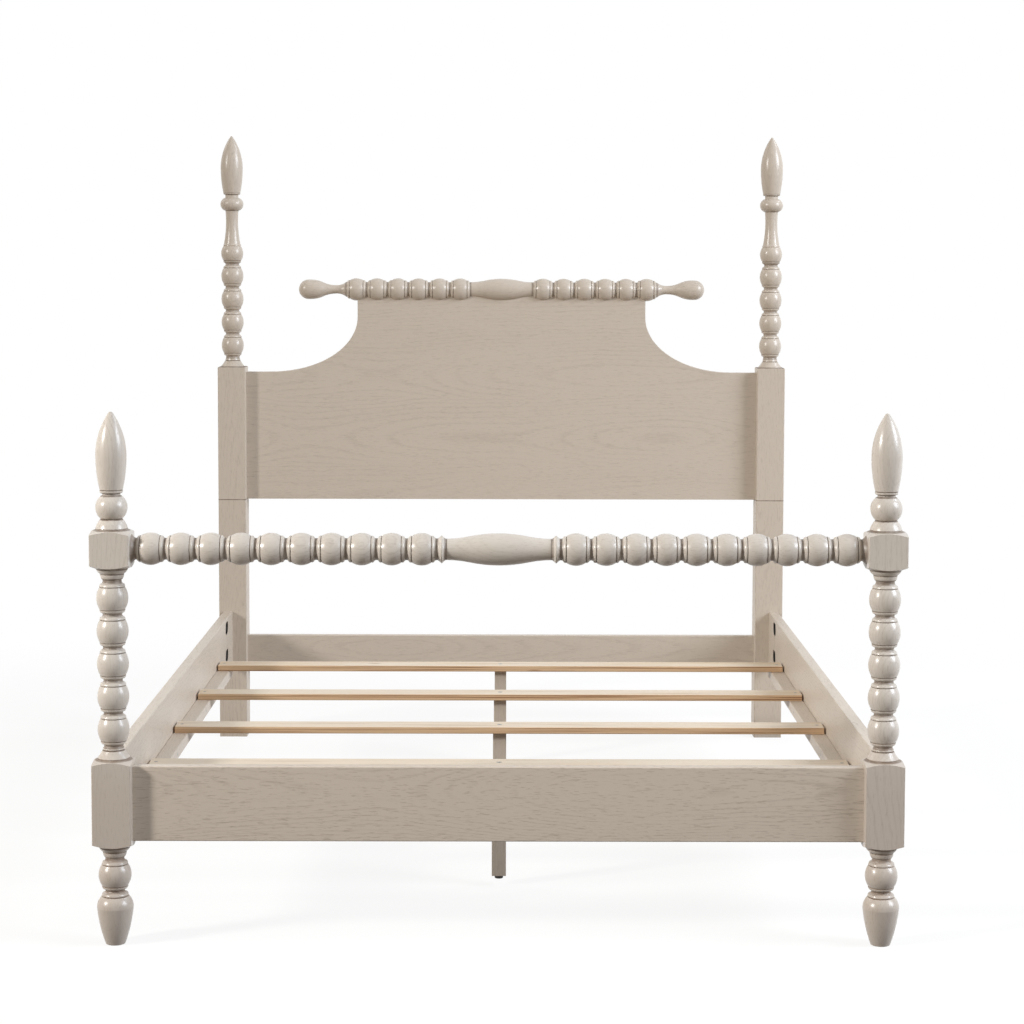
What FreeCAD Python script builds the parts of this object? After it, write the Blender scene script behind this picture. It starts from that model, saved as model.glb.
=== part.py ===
import FreeCAD
import Part
import math
import os

# A queen-size spindle bed in painted oak: bobbin-turned foot posts and foot rail, a shaped
# headboard panel under a turned crest rail, side rails on half-moon bolts, and four slats
# that each stand on a centre leg with a screwed levelling glide.
# Millimetres. X runs across the bed, Y from the foot (minus) to the head (plus), Z up.
# The origin is on the floor under the middle of the bed.

Vector = FreeCAD.Vector

# Overall size, measured to the outer faces of the posts
bed_width = 1650.0
bed_length = 2192.0

# Square post stock
post_size = 80.0
post_round = 2.5
shoulder_drop = 9.5

# Clearances: glued fits, running fits and the panel in its grooves
glue_gap = 0.1
running_gap = 0.08
groove_gap = 0.15

# Side rails and foot rail
rail_bottom = 217.0
rail_height = 154.5
rail_thickness = 27.0
rail_inset = 12.0
foot_rail_thickness = 25.0
foot_rail_setback = 22.0
board_round = 2.5

# Bobbin beads: lengths along the axis of the details beside each bead
neck_cove = 5.0
bead_flank = 4.5
scribe_width = 1.8
scribe_depth = 1.3
rim_drop = 1.8
flank_bulge = 0.4
cove_bulge = 1.1
ring_bulge = 0.8
vase_turn_share = 0.55

# Foot post: square blocks and turned stretches
block_below_rail = 13.5
block_above_rail = 13.5
spindle_rail_height = 815.0
upper_block_height = 80.0
post_bead_count = 5
post_bead_radius = 32.3
post_bead_shoulder = 26.2
post_neck_radius = 19.3
foot_tip_radius = 20.5
foot_tip_round = 2.0
foot_vase_radius = 37.3
foot_vase_height = 77.0
foot_vase_neck = 111.0
foot_vase_shoulder = 27.5
foot_taper_bulge = 2.5
foot_ball_radius = 33.5
foot_ball_shoulder = 26.8

# Collars where a turned stretch meets a block
collar_radius = 32.5
collar_fillet = 2.5
flare_height = 17.0
flare_top_radius = 23.0
flare_ring_radius = 21.8
flare_ring_height = 4.5
flare_bulge = -0.6
flared_collar_height = 26.0
step_upper_height = 10.0
step_upper_radius = 25.5
step_lower_height = 11.5
step_lower_radius = 24.3
step_lower_end = 21.4
stepped_collar_height = 27.0
dome_height = 20.5
dome_top_radius = 22.5
dome_bulge = 1.4

# Finial on the foot post: a flattened ball under a spear
finial_ball_radius = 32.4
finial_ball_height = 47.5
finial_ball_end = 20.8
finial_groove_height = 5.5
finial_groove_radius = 18.3
spear_ring_height = 7.0
foot_spear_length = 158.0
foot_spear_swell = 90.0
foot_spear_radius = 31.3
foot_spear_base = 23.4
foot_spear_tip = 5.5

# Foot spindle rail
spindle_bead_count = 10
spindle_bead_radius = 33.0
spindle_bead_shoulder = 27.4
spindle_neck_radius = 22.0
spindle_vase_half = 108.0
spindle_vase_radius = 32.6
spindle_vase_end = 21.6
spindle_vase_bulge = 1.3
spindle_disc_width = 16.0
spindle_disc_radius = 28.0
spindle_disc_edge = 2.0
spindle_gap = 2.0
spindle_collar_width = 8.5
spindle_collar_radius = 30.0
spindle_tenon_radius = 15.0
spindle_tenon_length = 30.0

# Head posts: a leg, an upper post on top of it and a spindle on top of that
seam_height = 700.0
head_block_rise = 14.5
head_top_bevel = 2.0
head_spindle_height = 669.0
head_bead_count = 4
head_bead_pitch = 67.3
head_bead_radius = 32.0
head_bead_shoulder = 25.8
head_neck_radius = 19.5
head_base_radius = 33.5
head_base_height = 28.8
bulb_radius = 32.0
bulb_height = 52.5
vase_length = 96.7
vase_neck_radius = 19.0
vase_bulge = -3.6
head_ring_height = 37.6
head_ring_radius = 33.3
head_ring_end = 19.6
head_groove_height = 9.0
head_spear_length = 164.5
head_spear_swell = 93.0
head_spear_radius = 32.0
head_spear_base = 24.5
head_spear_tip = 3.5

# Headboard panel
panel_thickness = 22.0
panel_tongue = 12.0
panel_shoulder_height = 1072.5
panel_shoulder_length = 73.5
cove_width = 252.0
cove_height = 161.0
panel_neck_height = 64.5
panel_round = 1.5

# Crest rail
crest_overhang = 33.75
crest_bead_count = 6
crest_bead_radius = 32.6
crest_bead_shoulder = 27.2
crest_neck_radius = 21.5
crest_vase_half = 90.25
crest_vase_radius = 32.0
crest_vase_end = 22.0
crest_vase_bulge = 1.1
crest_panel_depth = 15.0
trumpet_length = 30.0
trumpet_radius = 12.4
trumpet_bulge = -3.0
knob_radius = 28.5
knob_swell = 36.0
knob_reach = 137.75

# Stretcher between the head legs
stretcher_top = 297.0
stretcher_height = 100.0
stretcher_thickness = 22.0

# Slats, their ledgers and the centre legs
ledger_width = 36.0
ledger_height = 27.0
ledger_top = 263.0
ledger_half_length = 705.0
slat_count = 4
slat_width = 70.0
slat_thickness = 16.0
slat_end_gap = 5.0
slat_round = 2.0
first_slat = -604.0
slat_pitch = 423.0
support_leg_size = 32.0
support_leg_bottom = 24.0
support_leg_round = 1.5

# Levelling glides
glide_counterbore_radius = 8.5
glide_counterbore_depth = 7.0
glide_insert_radius = 6.0
glide_insert_length = 20.0
glide_bore_radius = 4.6
glide_bore_length = 34.0
glide_stem_radius = 4.0
glide_stem_top = 80.0
glide_hex_flats = 10.0
glide_hex_bottom = 25.0
glide_hex_height = 4.0
glide_pin_radius = 3.0
glide_pad_bottom = 16.0
glide_pad_height = 6.5
glide_pad_radius = 9.5
glide_pad_round = 1.2
glide_floor_skin = 1.4

# Side rail fastenings: studs in the posts, half-moon washers and nuts in round-ended pockets
rail_bolt_height = 304.0
rail_bolt_spread = 40.0
rail_bolt_radius = 4.0
rail_bolt_hole = 4.6
rail_bolt_depth = 25.0
rail_bolt_tail = 4.0
rail_insert_radius = 6.0
pocket_radius = 18.0
pocket_depth = 22.0
pocket_reach = 28.0
head_pocket_from_end = 125.0
foot_pocket_from_end = 65.0
pocket_line_width = 3.0
pocket_line_depth = 1.5
half_moon_chord = 9.0
half_moon_width = 15.0
rail_nut_flats = 13.0
rail_nut_height = 6.5
rail_dowel_radius = 5.0
rail_dowel_half = 30.0

# Dowels and studs inside the joints
dowel_radius = 6.0
dowel_half = 30.0
foot_rail_dowel_spread = 50.0
stretcher_dowel_spread = 30.0
leg_dowel_spread = 24.0
leg_dowel_half = 25.0
leg_stud_radius = 5.0
leg_stud_half = 50.0
spindle_stud_radius = 5.0
spindle_stud_half = 40.0
crest_dowel_radius = 5.0
crest_dowel_below = 30.0
crest_dowel_above = 22.0
hole_end_gap = 0.5

# Screws
screw_radius = 2.2
screw_head_radius = 4.5
screw_head_height = 2.6
ledger_screw_count = 6
ledger_screw_bite = 14.0
ledger_screw_margin = 60.0
slat_screw_bite = 22.0
leg_screw_radius = 3.0
leg_screw_head_radius = 6.5
leg_screw_head_height = 4.0
leg_screw_bite = 50.0

# Places worked out from the sizes above
half_post = post_size / 2
half_diagonal = half_post * math.sqrt(2)
post_x = bed_width / 2 - half_post
foot_y = -bed_length / 2 + half_post
head_y = bed_length / 2 - half_post
inner_x = post_x - half_post
foot_face = foot_y + half_post
head_face = head_y - half_post
rail_top = rail_bottom + rail_height
rail_outer_x = bed_width / 2 - rail_inset
rail_inner_x = rail_outer_x - rail_thickness
rail_mid_x = rail_inner_x + rail_thickness / 2
rail_mid_y = (foot_face + head_face) / 2
lower_block_bottom = rail_bottom - block_below_rail
lower_block_top = rail_top + block_above_rail
upper_block_bottom = spindle_rail_height - upper_block_height / 2
upper_block_top = spindle_rail_height + upper_block_height / 2
foot_rail_y = foot_y - half_post + foot_rail_setback + foot_rail_thickness / 2
head_block_top = panel_shoulder_height + head_block_rise
panel_top_half_width = inner_x - panel_shoulder_length - cove_width
panel_top = panel_shoulder_height + cove_height + panel_neck_height
crest_height = panel_top + crest_panel_depth
crest_beads_end = panel_top_half_width + crest_overhang
crest_bead_pitch = (crest_beads_end - crest_vase_half) / crest_bead_count
crest_half_length = crest_beads_end + knob_reach
slat_bottom = ledger_top
slat_top = slat_bottom + slat_thickness
ledger_inner_x = rail_inner_x - ledger_width
ledger_mid_x = rail_inner_x - ledger_width / 2
slat_places = [first_slat + slat_pitch * i for i in range(slat_count)]
bolt_heights = (rail_bolt_height - rail_bolt_spread, rail_bolt_height + rail_bolt_spread)


class Turning:
    """Outline of a lathe-turned piece, drawn along its axis as (along, radius) stretches."""

    def __init__(self, along, radius):
        self.start = Vector(radius, 0, along)
        self.here = self.start
        self.edges = []

    def line(self, along, radius):
        there = Vector(radius, 0, along)
        self.edges.append(Part.LineSegment(self.here, there).toShape())
        self.here = there

    def arc(self, along, radius, bulge):
        """An arc that stands out from its chord by bulge, or in where bulge is negative."""
        there = Vector(radius, 0, along)
        chord = there - self.here
        outward = Vector(chord.z, 0, -chord.x).normalize()
        middle = (self.here + there) * 0.5 + outward * bulge
        self.edges.append(Part.Arc(self.here, middle, there).toShape())
        self.here = there

    def scribe(self, along, radius):
        """A V-shaped scribed line that ends at the given place."""
        self.line(along - scribe_width / 2, radius - scribe_depth)
        self.line(along, radius)

    def bead(self, centre, half_pitch, radius, shoulder, neck):
        """A bead from neck to neck: cove, flank, scribed line, round body and the same back."""
        edge = half_pitch - neck_cove
        outer = edge - bead_flank
        body = outer - scribe_width
        rim = shoulder - rim_drop
        self.arc(centre - edge, rim, -cove_bulge)
        self.arc(centre - outer, shoulder, flank_bulge)
        self.scribe(centre - body, shoulder)
        self.arc(centre + body, shoulder, radius - shoulder)
        self.scribe(centre + outer, shoulder)
        self.arc(centre + edge, rim, flank_bulge)
        self.arc(centre + half_pitch, neck, -cove_bulge)

    def spear(self, tip, length, swell, radius, base, tip_round):
        """A spear-shaped finial from its base ring to a ball tip that its sides run into smoothly."""
        below = length - swell
        self.arc(tip - swell, radius, arc_bulge(below, radius - base))
        curve = (swell * swell + radius * radius - 2 * swell * tip_round) / (2 * (radius - tip_round))
        share = curve / (curve - tip_round)
        rise = (swell - tip_round) * share
        end = radius - curve + (curve - radius) * share
        self.arc(tip - swell + rise, end, arc_bulge(rise, radius - end))
        half_chord = math.hypot(swell - rise, end) / 2
        self.arc(tip, 0, tip_round - math.sqrt(tip_round * tip_round - half_chord * half_chord))

    def half_vase(self, half, radius, end, bulge):
        """Half of a long vase: a swelling that turns hollow towards its end."""
        turn = half * vase_turn_share
        drop = (radius - end) * vase_turn_share
        self.arc(turn, radius - drop, arc_bulge(turn, drop))
        self.arc(half, end, -bulge)

    def solid(self):
        axis_end = Vector(0, 0, self.here.z)
        axis_start = Vector(0, 0, self.start.z)
        edges = list(self.edges)
        if self.here.x > 0:
            edges.append(Part.LineSegment(self.here, axis_end).toShape())
        edges.append(Part.LineSegment(axis_end, axis_start).toShape())
        edges.append(Part.LineSegment(axis_start, self.start).toShape())
        face = Part.Face(Part.Wire(edges))
        return face.revolve(Vector(0, 0, 0), Vector(0, 0, 1), 360)


def arc_bulge(run, drop):
    """Bulge of the arc that starts square to the radius and then falls by drop over run."""
    curve = (run * run + drop * drop) / (2 * drop)
    half_chord = math.hypot(run, drop) / 2
    return curve - math.sqrt(curve * curve - half_chord * half_chord)


def quarter_bulge(radius):
    """Bulge of a quarter circle."""
    return radius * (1 - math.sqrt(0.5))


def box(x_low, x_high, y_low, y_high, z_low, z_high):
    corner = Vector(x_low, y_low, z_low)
    return Part.makeBox(x_high - x_low, y_high - y_low, z_high - z_low, corner)


def eased(shape, direction, radius):
    """Rounds the straight edges that run along a direction."""
    chosen = []
    for edge in shape.Edges:
        along = edge.Vertexes[-1].Point - edge.Vertexes[0].Point
        if along.Length > 0 and along.cross(direction).Length < 1e-6 * along.Length:
            chosen.append(edge)
    return shape.makeFillet(radius, chosen)


def rod(start, direction, radius, length):
    return Part.makeCylinder(radius, length, start, direction)


def pin(centre, direction, radius, half):
    return rod(centre - direction * half, direction, radius, 2 * half)


def hex_prism(start, direction, flats, height):
    """A hexagonal prism, given by its width across the flats."""
    corner = flats / math.sqrt(3)
    turns = [math.radians(60 * i) for i in range(7)]
    outline = [Vector(corner * math.sin(turn), corner * math.cos(turn), 0) for turn in turns]
    prism = Part.Face(Part.makePolygon(outline)).extrude(Vector(0, 0, height))
    prism.Placement = FreeCAD.Placement(start, FreeCAD.Rotation(Vector(0, 0, 1), direction))
    return prism


def along_x(shape, height, y):
    """Lays a piece that was turned along Z down along X."""
    shape.rotate(Vector(0, 0, 0), Vector(0, 1, 0), 90)
    shape.translate(Vector(0, y, height))
    return shape


def both_sides(x, y, z):
    return [Vector(-x, y, z), Vector(x, y, z)]


X_AXIS = Vector(1, 0, 0)
Y_AXIS = Vector(0, 1, 0)
Z_AXIS = Vector(0, 0, 1)


def square_waste(bottom, top):
    """What the saw takes off a turned blank to leave the square block between two heights."""
    reach = half_diagonal + post_size
    block = eased(box(-half_post, half_post, -half_post, half_post, bottom, top), Z_AXIS, post_round)
    return box(-reach, reach, -reach, reach, bottom, top).cut(block)


def block_outline(turning, bottom, top, top_radius):
    """The rounded pommel shoulders at both ends of a square block."""
    turning.line(bottom + shoulder_drop, half_diagonal)
    turning.line(top - shoulder_drop, half_diagonal)
    turning.line(top, top_radius)


def stepped_collar(turning, block):
    """Two stepped rings under a block, from the neck up to the block."""
    upper = block - step_upper_height
    lower = upper - step_lower_height
    turning.line(lower, post_neck_radius)
    turning.line(lower, step_lower_end)
    turning.arc(upper - scribe_width, step_lower_radius, ring_bulge)
    turning.scribe(upper, step_upper_radius)
    turning.arc(block, collar_radius, cove_bulge)


def flared_collar(turning, block, height, neck):
    """A flared foot and a small ring, from the block up to the neck."""
    ring = block + flare_height + scribe_width
    turning.line(block + collar_fillet, collar_radius)
    turning.arc(block + flare_height, flare_top_radius, flare_bulge)
    turning.scribe(ring, flare_ring_radius)
    turning.arc(ring + flare_ring_height, flare_ring_radius - rim_drop, ring_bulge)
    turning.line(block + height, neck)


def foot_post_turning():
    """The foot post's outline from the floor to the tip of its spear."""
    turning = Turning(0, foot_tip_radius - foot_tip_round)
    turning.arc(foot_tip_round, foot_tip_radius, quarter_bulge(foot_tip_round))
    turning.arc(foot_vase_height, foot_vase_radius, foot_taper_bulge)
    edge = foot_vase_neck - neck_cove
    outer = edge - bead_flank
    body = outer - scribe_width
    drop = foot_vase_radius - foot_vase_shoulder
    turning.arc(body, foot_vase_shoulder, arc_bulge(body - foot_vase_height, drop))
    turning.scribe(outer, foot_vase_shoulder)
    turning.arc(edge, foot_vase_shoulder - rim_drop, flank_bulge)
    turning.arc(foot_vase_neck, post_neck_radius, -cove_bulge)

    ball_top = lower_block_bottom - stepped_collar_height
    ball_half = (ball_top - foot_vase_neck) / 2
    ball = foot_vase_neck + ball_half
    turning.bead(ball, ball_half, foot_ball_radius, foot_ball_shoulder, post_neck_radius)
    stepped_collar(turning, lower_block_bottom)
    block_outline(turning, lower_block_bottom, lower_block_top, collar_radius)
    flared_collar(turning, lower_block_top, flared_collar_height, post_neck_radius)

    beads_bottom = lower_block_top + flared_collar_height
    beads_top = upper_block_bottom - stepped_collar_height
    half_pitch = (beads_top - beads_bottom) / post_bead_count / 2
    for i in range(post_bead_count):
        centre = beads_bottom + half_pitch * (2 * i + 1)
        turning.bead(centre, half_pitch, post_bead_radius, post_bead_shoulder, post_neck_radius)
    stepped_collar(turning, upper_block_bottom)
    block_outline(turning, upper_block_bottom, upper_block_top, collar_radius)

    turning.line(upper_block_top + collar_fillet, collar_radius)
    dome_top = upper_block_top + dome_height
    turning.arc(dome_top, dome_top_radius, dome_bulge)
    turning.line(dome_top, finial_ball_end)
    ball_end = dome_top + finial_ball_height
    turning.arc(ball_end, finial_ball_end, finial_ball_radius - finial_ball_end)
    turning.line(ball_end, finial_groove_radius)
    groove_end = ball_end + finial_groove_height
    turning.line(groove_end, finial_groove_radius)
    turning.line(groove_end, foot_spear_base - rim_drop)
    spear_base = groove_end + spear_ring_height
    turning.arc(spear_base - scribe_width, foot_spear_base, ring_bulge)
    turning.scribe(spear_base, foot_spear_base)
    tip = spear_base + foot_spear_length
    turning.spear(tip, foot_spear_length, foot_spear_swell, foot_spear_radius, foot_spear_base,
                  foot_spear_tip)
    return turning


def foot_post(side):
    """A foot post with its blocks squared and bored for the rails."""
    post = foot_post_turning().solid()
    post = post.cut(square_waste(lower_block_bottom, lower_block_top))
    post = post.cut(square_waste(upper_block_bottom, upper_block_top))
    post.translate(Vector(side * post_x, foot_y, 0))
    inward = X_AXIS * -side
    tenon_hole = spindle_tenon_length + hole_end_gap
    face = Vector(side * inner_x, foot_y, spindle_rail_height)
    holes = [rod(face - inward * tenon_hole, inward, spindle_tenon_radius + glue_gap, tenon_hole)]
    for centre in foot_rail_dowel_places(side):
        holes.append(pin(centre, X_AXIS, dowel_radius + glue_gap, dowel_half + hole_end_gap))
    holes += rail_post_holes(side, foot_face, -1)
    return post.cut(holes)


def rail_post_holes(side, face, into):
    """Holes in a post for one side rail's stud inserts and dowel; into is the way in along Y."""
    holes = []
    for height in bolt_heights:
        start = Vector(side * rail_mid_x, face, height)
        depth = rail_bolt_depth + hole_end_gap
        holes.append(rod(start, Y_AXIS * into, rail_insert_radius + glue_gap, depth))
    centre = Vector(side * rail_mid_x, face, rail_bolt_height)
    holes.append(pin(centre, Y_AXIS, rail_dowel_radius + glue_gap, rail_dowel_half + hole_end_gap))
    return holes


def foot_rail_dowel_places(side):
    middle = rail_bottom + rail_height / 2
    heights = (middle - foot_rail_dowel_spread, middle, middle + foot_rail_dowel_spread)
    return [Vector(side * inner_x, foot_rail_y, height) for height in heights]


def stretcher_dowel_places(side):
    middle = stretcher_top - stretcher_height / 2
    heights = (middle - stretcher_dowel_spread, middle + stretcher_dowel_spread)
    return [Vector(side * inner_x, head_y, height) for height in heights]


def foot_rail():
    """The board between the foot posts, with dowel holes in its ends."""
    half = foot_rail_thickness / 2
    board = box(-inner_x, inner_x, foot_rail_y - half, foot_rail_y + half, rail_bottom, rail_top)
    board = eased(board, X_AXIS, board_round)
    places = foot_rail_dowel_places(-1) + foot_rail_dowel_places(1)
    return board.cut([pin(p, X_AXIS, dowel_radius + glue_gap, dowel_half + hole_end_gap) for p in places])


def head_stretcher():
    """The board between the head legs, with dowel holes in its ends."""
    half = stretcher_thickness / 2
    bottom = stretcher_top - stretcher_height
    board = box(-inner_x, inner_x, head_y - half, head_y + half, bottom, stretcher_top)
    board = eased(board, X_AXIS, board_round)
    places = stretcher_dowel_places(-1) + stretcher_dowel_places(1)
    return board.cut([pin(p, X_AXIS, dowel_radius + glue_gap, dowel_half + hole_end_gap) for p in places])


def mirrored_turning(draw_half):
    """Half an outline from the middle outwards, mirrored into one solid along Z."""
    half = draw_half().solid()
    other = half.mirror(Vector(0, 0, 0), Vector(0, 0, 1))
    return half.fuse(other).removeSplitter()


def spindle_half_turning():
    """The foot spindle rail from its middle to the end of one tenon."""
    turning = Turning(0, spindle_vase_radius)
    turning.half_vase(spindle_vase_half, spindle_vase_radius, spindle_vase_end, spindle_vase_bulge)
    disc_end = spindle_vase_half + spindle_disc_width
    rim = spindle_vase_half + spindle_disc_width / 2
    turning.arc(rim - spindle_disc_edge / 2, spindle_disc_radius, -flank_bulge)
    turning.line(rim + spindle_disc_edge / 2, spindle_disc_radius)
    turning.arc(disc_end, spindle_neck_radius, -flank_bulge)
    first = disc_end + spindle_gap
    turning.line(first, spindle_neck_radius)
    collar = inner_x - spindle_collar_width
    half_pitch = (collar - first) / spindle_bead_count / 2
    for i in range(spindle_bead_count):
        centre = first + half_pitch * (2 * i + 1)
        turning.bead(centre, half_pitch, spindle_bead_radius, spindle_bead_shoulder, spindle_neck_radius)
    turning.arc(inner_x, spindle_collar_radius, -ring_bulge)
    turning.line(inner_x, spindle_tenon_radius)
    turning.line(inner_x + spindle_tenon_length, spindle_tenon_radius)
    return turning


def foot_spindle_rail():
    """The turned rail between the foot posts, tenoned into their upper blocks."""
    return along_x(mirrored_turning(spindle_half_turning), spindle_rail_height, foot_y)


def crest_half_turning():
    """The crest rail from its middle to the end of one knob."""
    turning = Turning(0, crest_vase_radius)
    turning.half_vase(crest_vase_half, crest_vase_radius, crest_vase_end, crest_vase_bulge)
    turning.line(crest_vase_half, crest_neck_radius)
    half_pitch = crest_bead_pitch / 2
    for i in range(crest_bead_count):
        centre = crest_vase_half + half_pitch * (2 * i + 1)
        turning.bead(centre, half_pitch, crest_bead_radius, crest_bead_shoulder, crest_neck_radius)
    trumpet = crest_beads_end + trumpet_length
    turning.arc(trumpet, trumpet_radius, trumpet_bulge)
    swell = crest_half_length - knob_swell
    turn = (trumpet + swell) / 2
    middle = (trumpet_radius + knob_radius) / 2
    turning.arc(turn, middle, -arc_bulge(turn - trumpet, middle - trumpet_radius))
    turning.arc(swell, knob_radius, arc_bulge(swell - turn, knob_radius - middle))
    turning.line(crest_half_length - knob_radius, knob_radius)
    turning.arc(crest_half_length, 0, quarter_bulge(knob_radius))
    return turning


def crest_dowel_places():
    """One dowel under every other crest bead, from the middle outwards."""
    places = []
    for i in range(0, crest_bead_count, 2):
        x = crest_vase_half + crest_bead_pitch * (i + 0.5)
        if x < panel_top_half_width - crest_dowel_radius * 2:
            places += both_sides(x, head_y, panel_top)
    return places


def crest_dowel(place, radius, end_gap):
    start = place - Z_AXIS * (crest_dowel_below + end_gap)
    return rod(start, Z_AXIS, radius, crest_dowel_below + crest_dowel_above + 2 * end_gap)


def crest_dowel_holes():
    radius = crest_dowel_radius + glue_gap
    return [crest_dowel(place, radius, hole_end_gap) for place in crest_dowel_places()]


def crest_rail():
    """The turned crest rail, grooved underneath for the panel's top edge."""
    rail = along_x(mirrored_turning(crest_half_turning), crest_height, head_y)
    half = panel_thickness / 2 + groove_gap
    reach = panel_top_half_width + groove_gap
    deep = crest_height - 2 * crest_bead_radius
    groove = box(-reach, reach, head_y - half, head_y + half, deep, panel_top)
    return rail.cut([groove] + crest_dowel_holes())


def headboard_panel():
    """The panel: tongues in the posts, level shoulders and an elliptical cove up to the crest."""
    side = inner_x + panel_tongue - groove_gap
    cove_x = panel_top_half_width + cove_width
    cove_top = panel_shoulder_height + cove_height
    front = head_y - panel_thickness / 2

    def point(x, z):
        return Vector(x, front, z)

    def straight(a, b):
        return Part.LineSegment(a, b).toShape()

    def cove(mirror):
        centre = point(mirror * cove_x, cove_top)
        side_end = point(mirror * panel_top_half_width, cove_top)
        low_end = point(mirror * cove_x, panel_shoulder_height)
        return Part.Ellipse(side_end, low_end, centre).toShape(0, math.pi / 2)

    edges = [
        straight(point(-side, seam_height), point(side, seam_height)),
        straight(point(side, seam_height), point(side, panel_shoulder_height)),
        straight(point(side, panel_shoulder_height), point(cove_x, panel_shoulder_height)),
        cove(1),
        straight(point(panel_top_half_width, cove_top), point(panel_top_half_width, panel_top)),
        straight(point(panel_top_half_width, panel_top), point(-panel_top_half_width, panel_top)),
        straight(point(-panel_top_half_width, panel_top), point(-panel_top_half_width, cove_top)),
        cove(-1),
        straight(point(-cove_x, panel_shoulder_height), point(-side, panel_shoulder_height)),
        straight(point(-side, panel_shoulder_height), point(-side, seam_height)),
    ]
    panel = Part.Face(Part.Wire(Part.__sortEdges__(edges))).extrude(Y_AXIS * panel_thickness)
    rims = []
    for edge in panel.Edges:
        lengthwise = abs(edge.BoundBox.YLength) < panel_round
        open_edge = edge.BoundBox.XLength < 2 * side - panel_round and edge.BoundBox.ZMax < panel_top
        if lengthwise and open_edge and edge.BoundBox.ZMin > seam_height:
            rims.append(edge)
    panel = panel.makeFillet(panel_round, rims)
    return panel.cut(crest_dowel_holes())


def leg_joint_pins(side, gap):
    """The stud and the two dowels that join a head post to its leg, with a gap for the holes."""
    seam = Vector(side * post_x, head_y, seam_height)
    spread = Y_AXIS * leg_dowel_spread
    stud = pin(seam, Z_AXIS, leg_stud_radius + gap, leg_stud_half + gap)
    pins = [stud]
    for centre in (seam - spread, seam + spread):
        pins.append(pin(centre, Z_AXIS, dowel_radius + gap, leg_dowel_half + gap))
    return pins


def spindle_stud(side, gap):
    top = Vector(side * post_x, head_y, head_block_top)
    return pin(top, Z_AXIS, spindle_stud_radius + gap, spindle_stud_half + gap)


def square_stock(side, bottom, top):
    x = side * post_x
    stock = box(x - half_post, x + half_post, head_y - half_post, head_y + half_post, bottom, top)
    return eased(stock, Z_AXIS, post_round)


def head_leg(side):
    """The lower square leg of a head post."""
    leg = square_stock(side, 0, seam_height)
    holes = leg_joint_pins(side, glue_gap) + rail_post_holes(side, head_face, 1)
    for centre in stretcher_dowel_places(side):
        holes.append(pin(centre, X_AXIS, dowel_radius + glue_gap, dowel_half + hole_end_gap))
    return leg.cut(holes)


def head_post(side):
    """The upper square post, bevelled on top and grooved for the panel."""
    post = square_stock(side, seam_height, head_block_top)
    rim = [e for e in post.Edges if min(v.Point.z for v in e.Vertexes) > head_block_top - 1e-6]
    post = post.makeChamfer(head_top_bevel, rim)
    half = panel_thickness / 2 + groove_gap
    floor = side * (inner_x + panel_tongue)
    mouth = side * (inner_x - post_size)
    groove = box(min(floor, mouth), max(floor, mouth), head_y - half, head_y + half,
                 seam_height - post_size, panel_shoulder_height + groove_gap)
    return post.cut([groove, spindle_stud(side, glue_gap)] + leg_joint_pins(side, glue_gap))


def head_spindle_turning():
    """The head spindle's outline from its base on the post to the tip of its spear."""
    base = head_block_top
    turning = Turning(base, head_base_radius)
    turning.line(base + collar_fillet, head_base_radius)
    ring = base + flare_height + scribe_width
    turning.arc(base + flare_height, flare_top_radius, flare_bulge)
    turning.scribe(ring, flare_ring_radius)
    turning.line(base + head_base_height, head_neck_radius)
    half_pitch = head_bead_pitch / 2
    for i in range(head_bead_count):
        centre = base + head_base_height + half_pitch * (2 * i + 1)
        turning.bead(centre, half_pitch, head_bead_radius, head_bead_shoulder, head_neck_radius)
    bulb_bottom = base + head_base_height + head_bead_count * head_bead_pitch
    edge = bulb_bottom + neck_cove
    outer = edge + bead_flank + scribe_width
    bulb_end = bulb_bottom + bulb_height
    turning.arc(edge, head_bead_shoulder - rim_drop, -cove_bulge)
    turning.arc(outer - scribe_width, head_bead_shoulder, flank_bulge)
    turning.scribe(outer, head_bead_shoulder)
    turning.arc(bulb_end, head_bead_shoulder, bulb_radius - head_bead_shoulder)
    vase_bottom = bulb_end + scribe_width + bead_flank
    turning.scribe(bulb_end + scribe_width, head_bead_shoulder)
    turning.arc(vase_bottom, head_bead_shoulder - rim_drop, flank_bulge)
    ring_bottom = vase_bottom + vase_length
    turning.arc(ring_bottom, vase_neck_radius, vase_bulge)
    turning.line(ring_bottom, head_ring_end)
    ring_top = ring_bottom + head_ring_height
    turning.arc(ring_top, head_ring_end, head_ring_radius - head_ring_end)
    turning.line(ring_top, vase_neck_radius)
    groove_top = ring_top + head_groove_height
    turning.line(groove_top, vase_neck_radius)
    turning.line(groove_top, head_spear_base - rim_drop)
    tip = base + head_spindle_height
    spear_base = tip - head_spear_length
    turning.arc(spear_base, head_spear_base, ring_bulge)
    turning.spear(tip, head_spear_length, head_spear_swell, head_spear_radius, head_spear_base,
                  head_spear_tip)
    return turning


def head_spindle(side):
    spindle = head_spindle_turning().solid()
    spindle.translate(Vector(side * post_x, head_y, 0))
    return spindle.cut(spindle_stud(side, glue_gap))


def rail_ends():
    """Both ends of a side rail: the post face, the way into the rail and how far in the pocket is."""
    return ((foot_face, Y_AXIS, foot_pocket_from_end), (head_face, -Y_AXIS, head_pocket_from_end))


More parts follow.
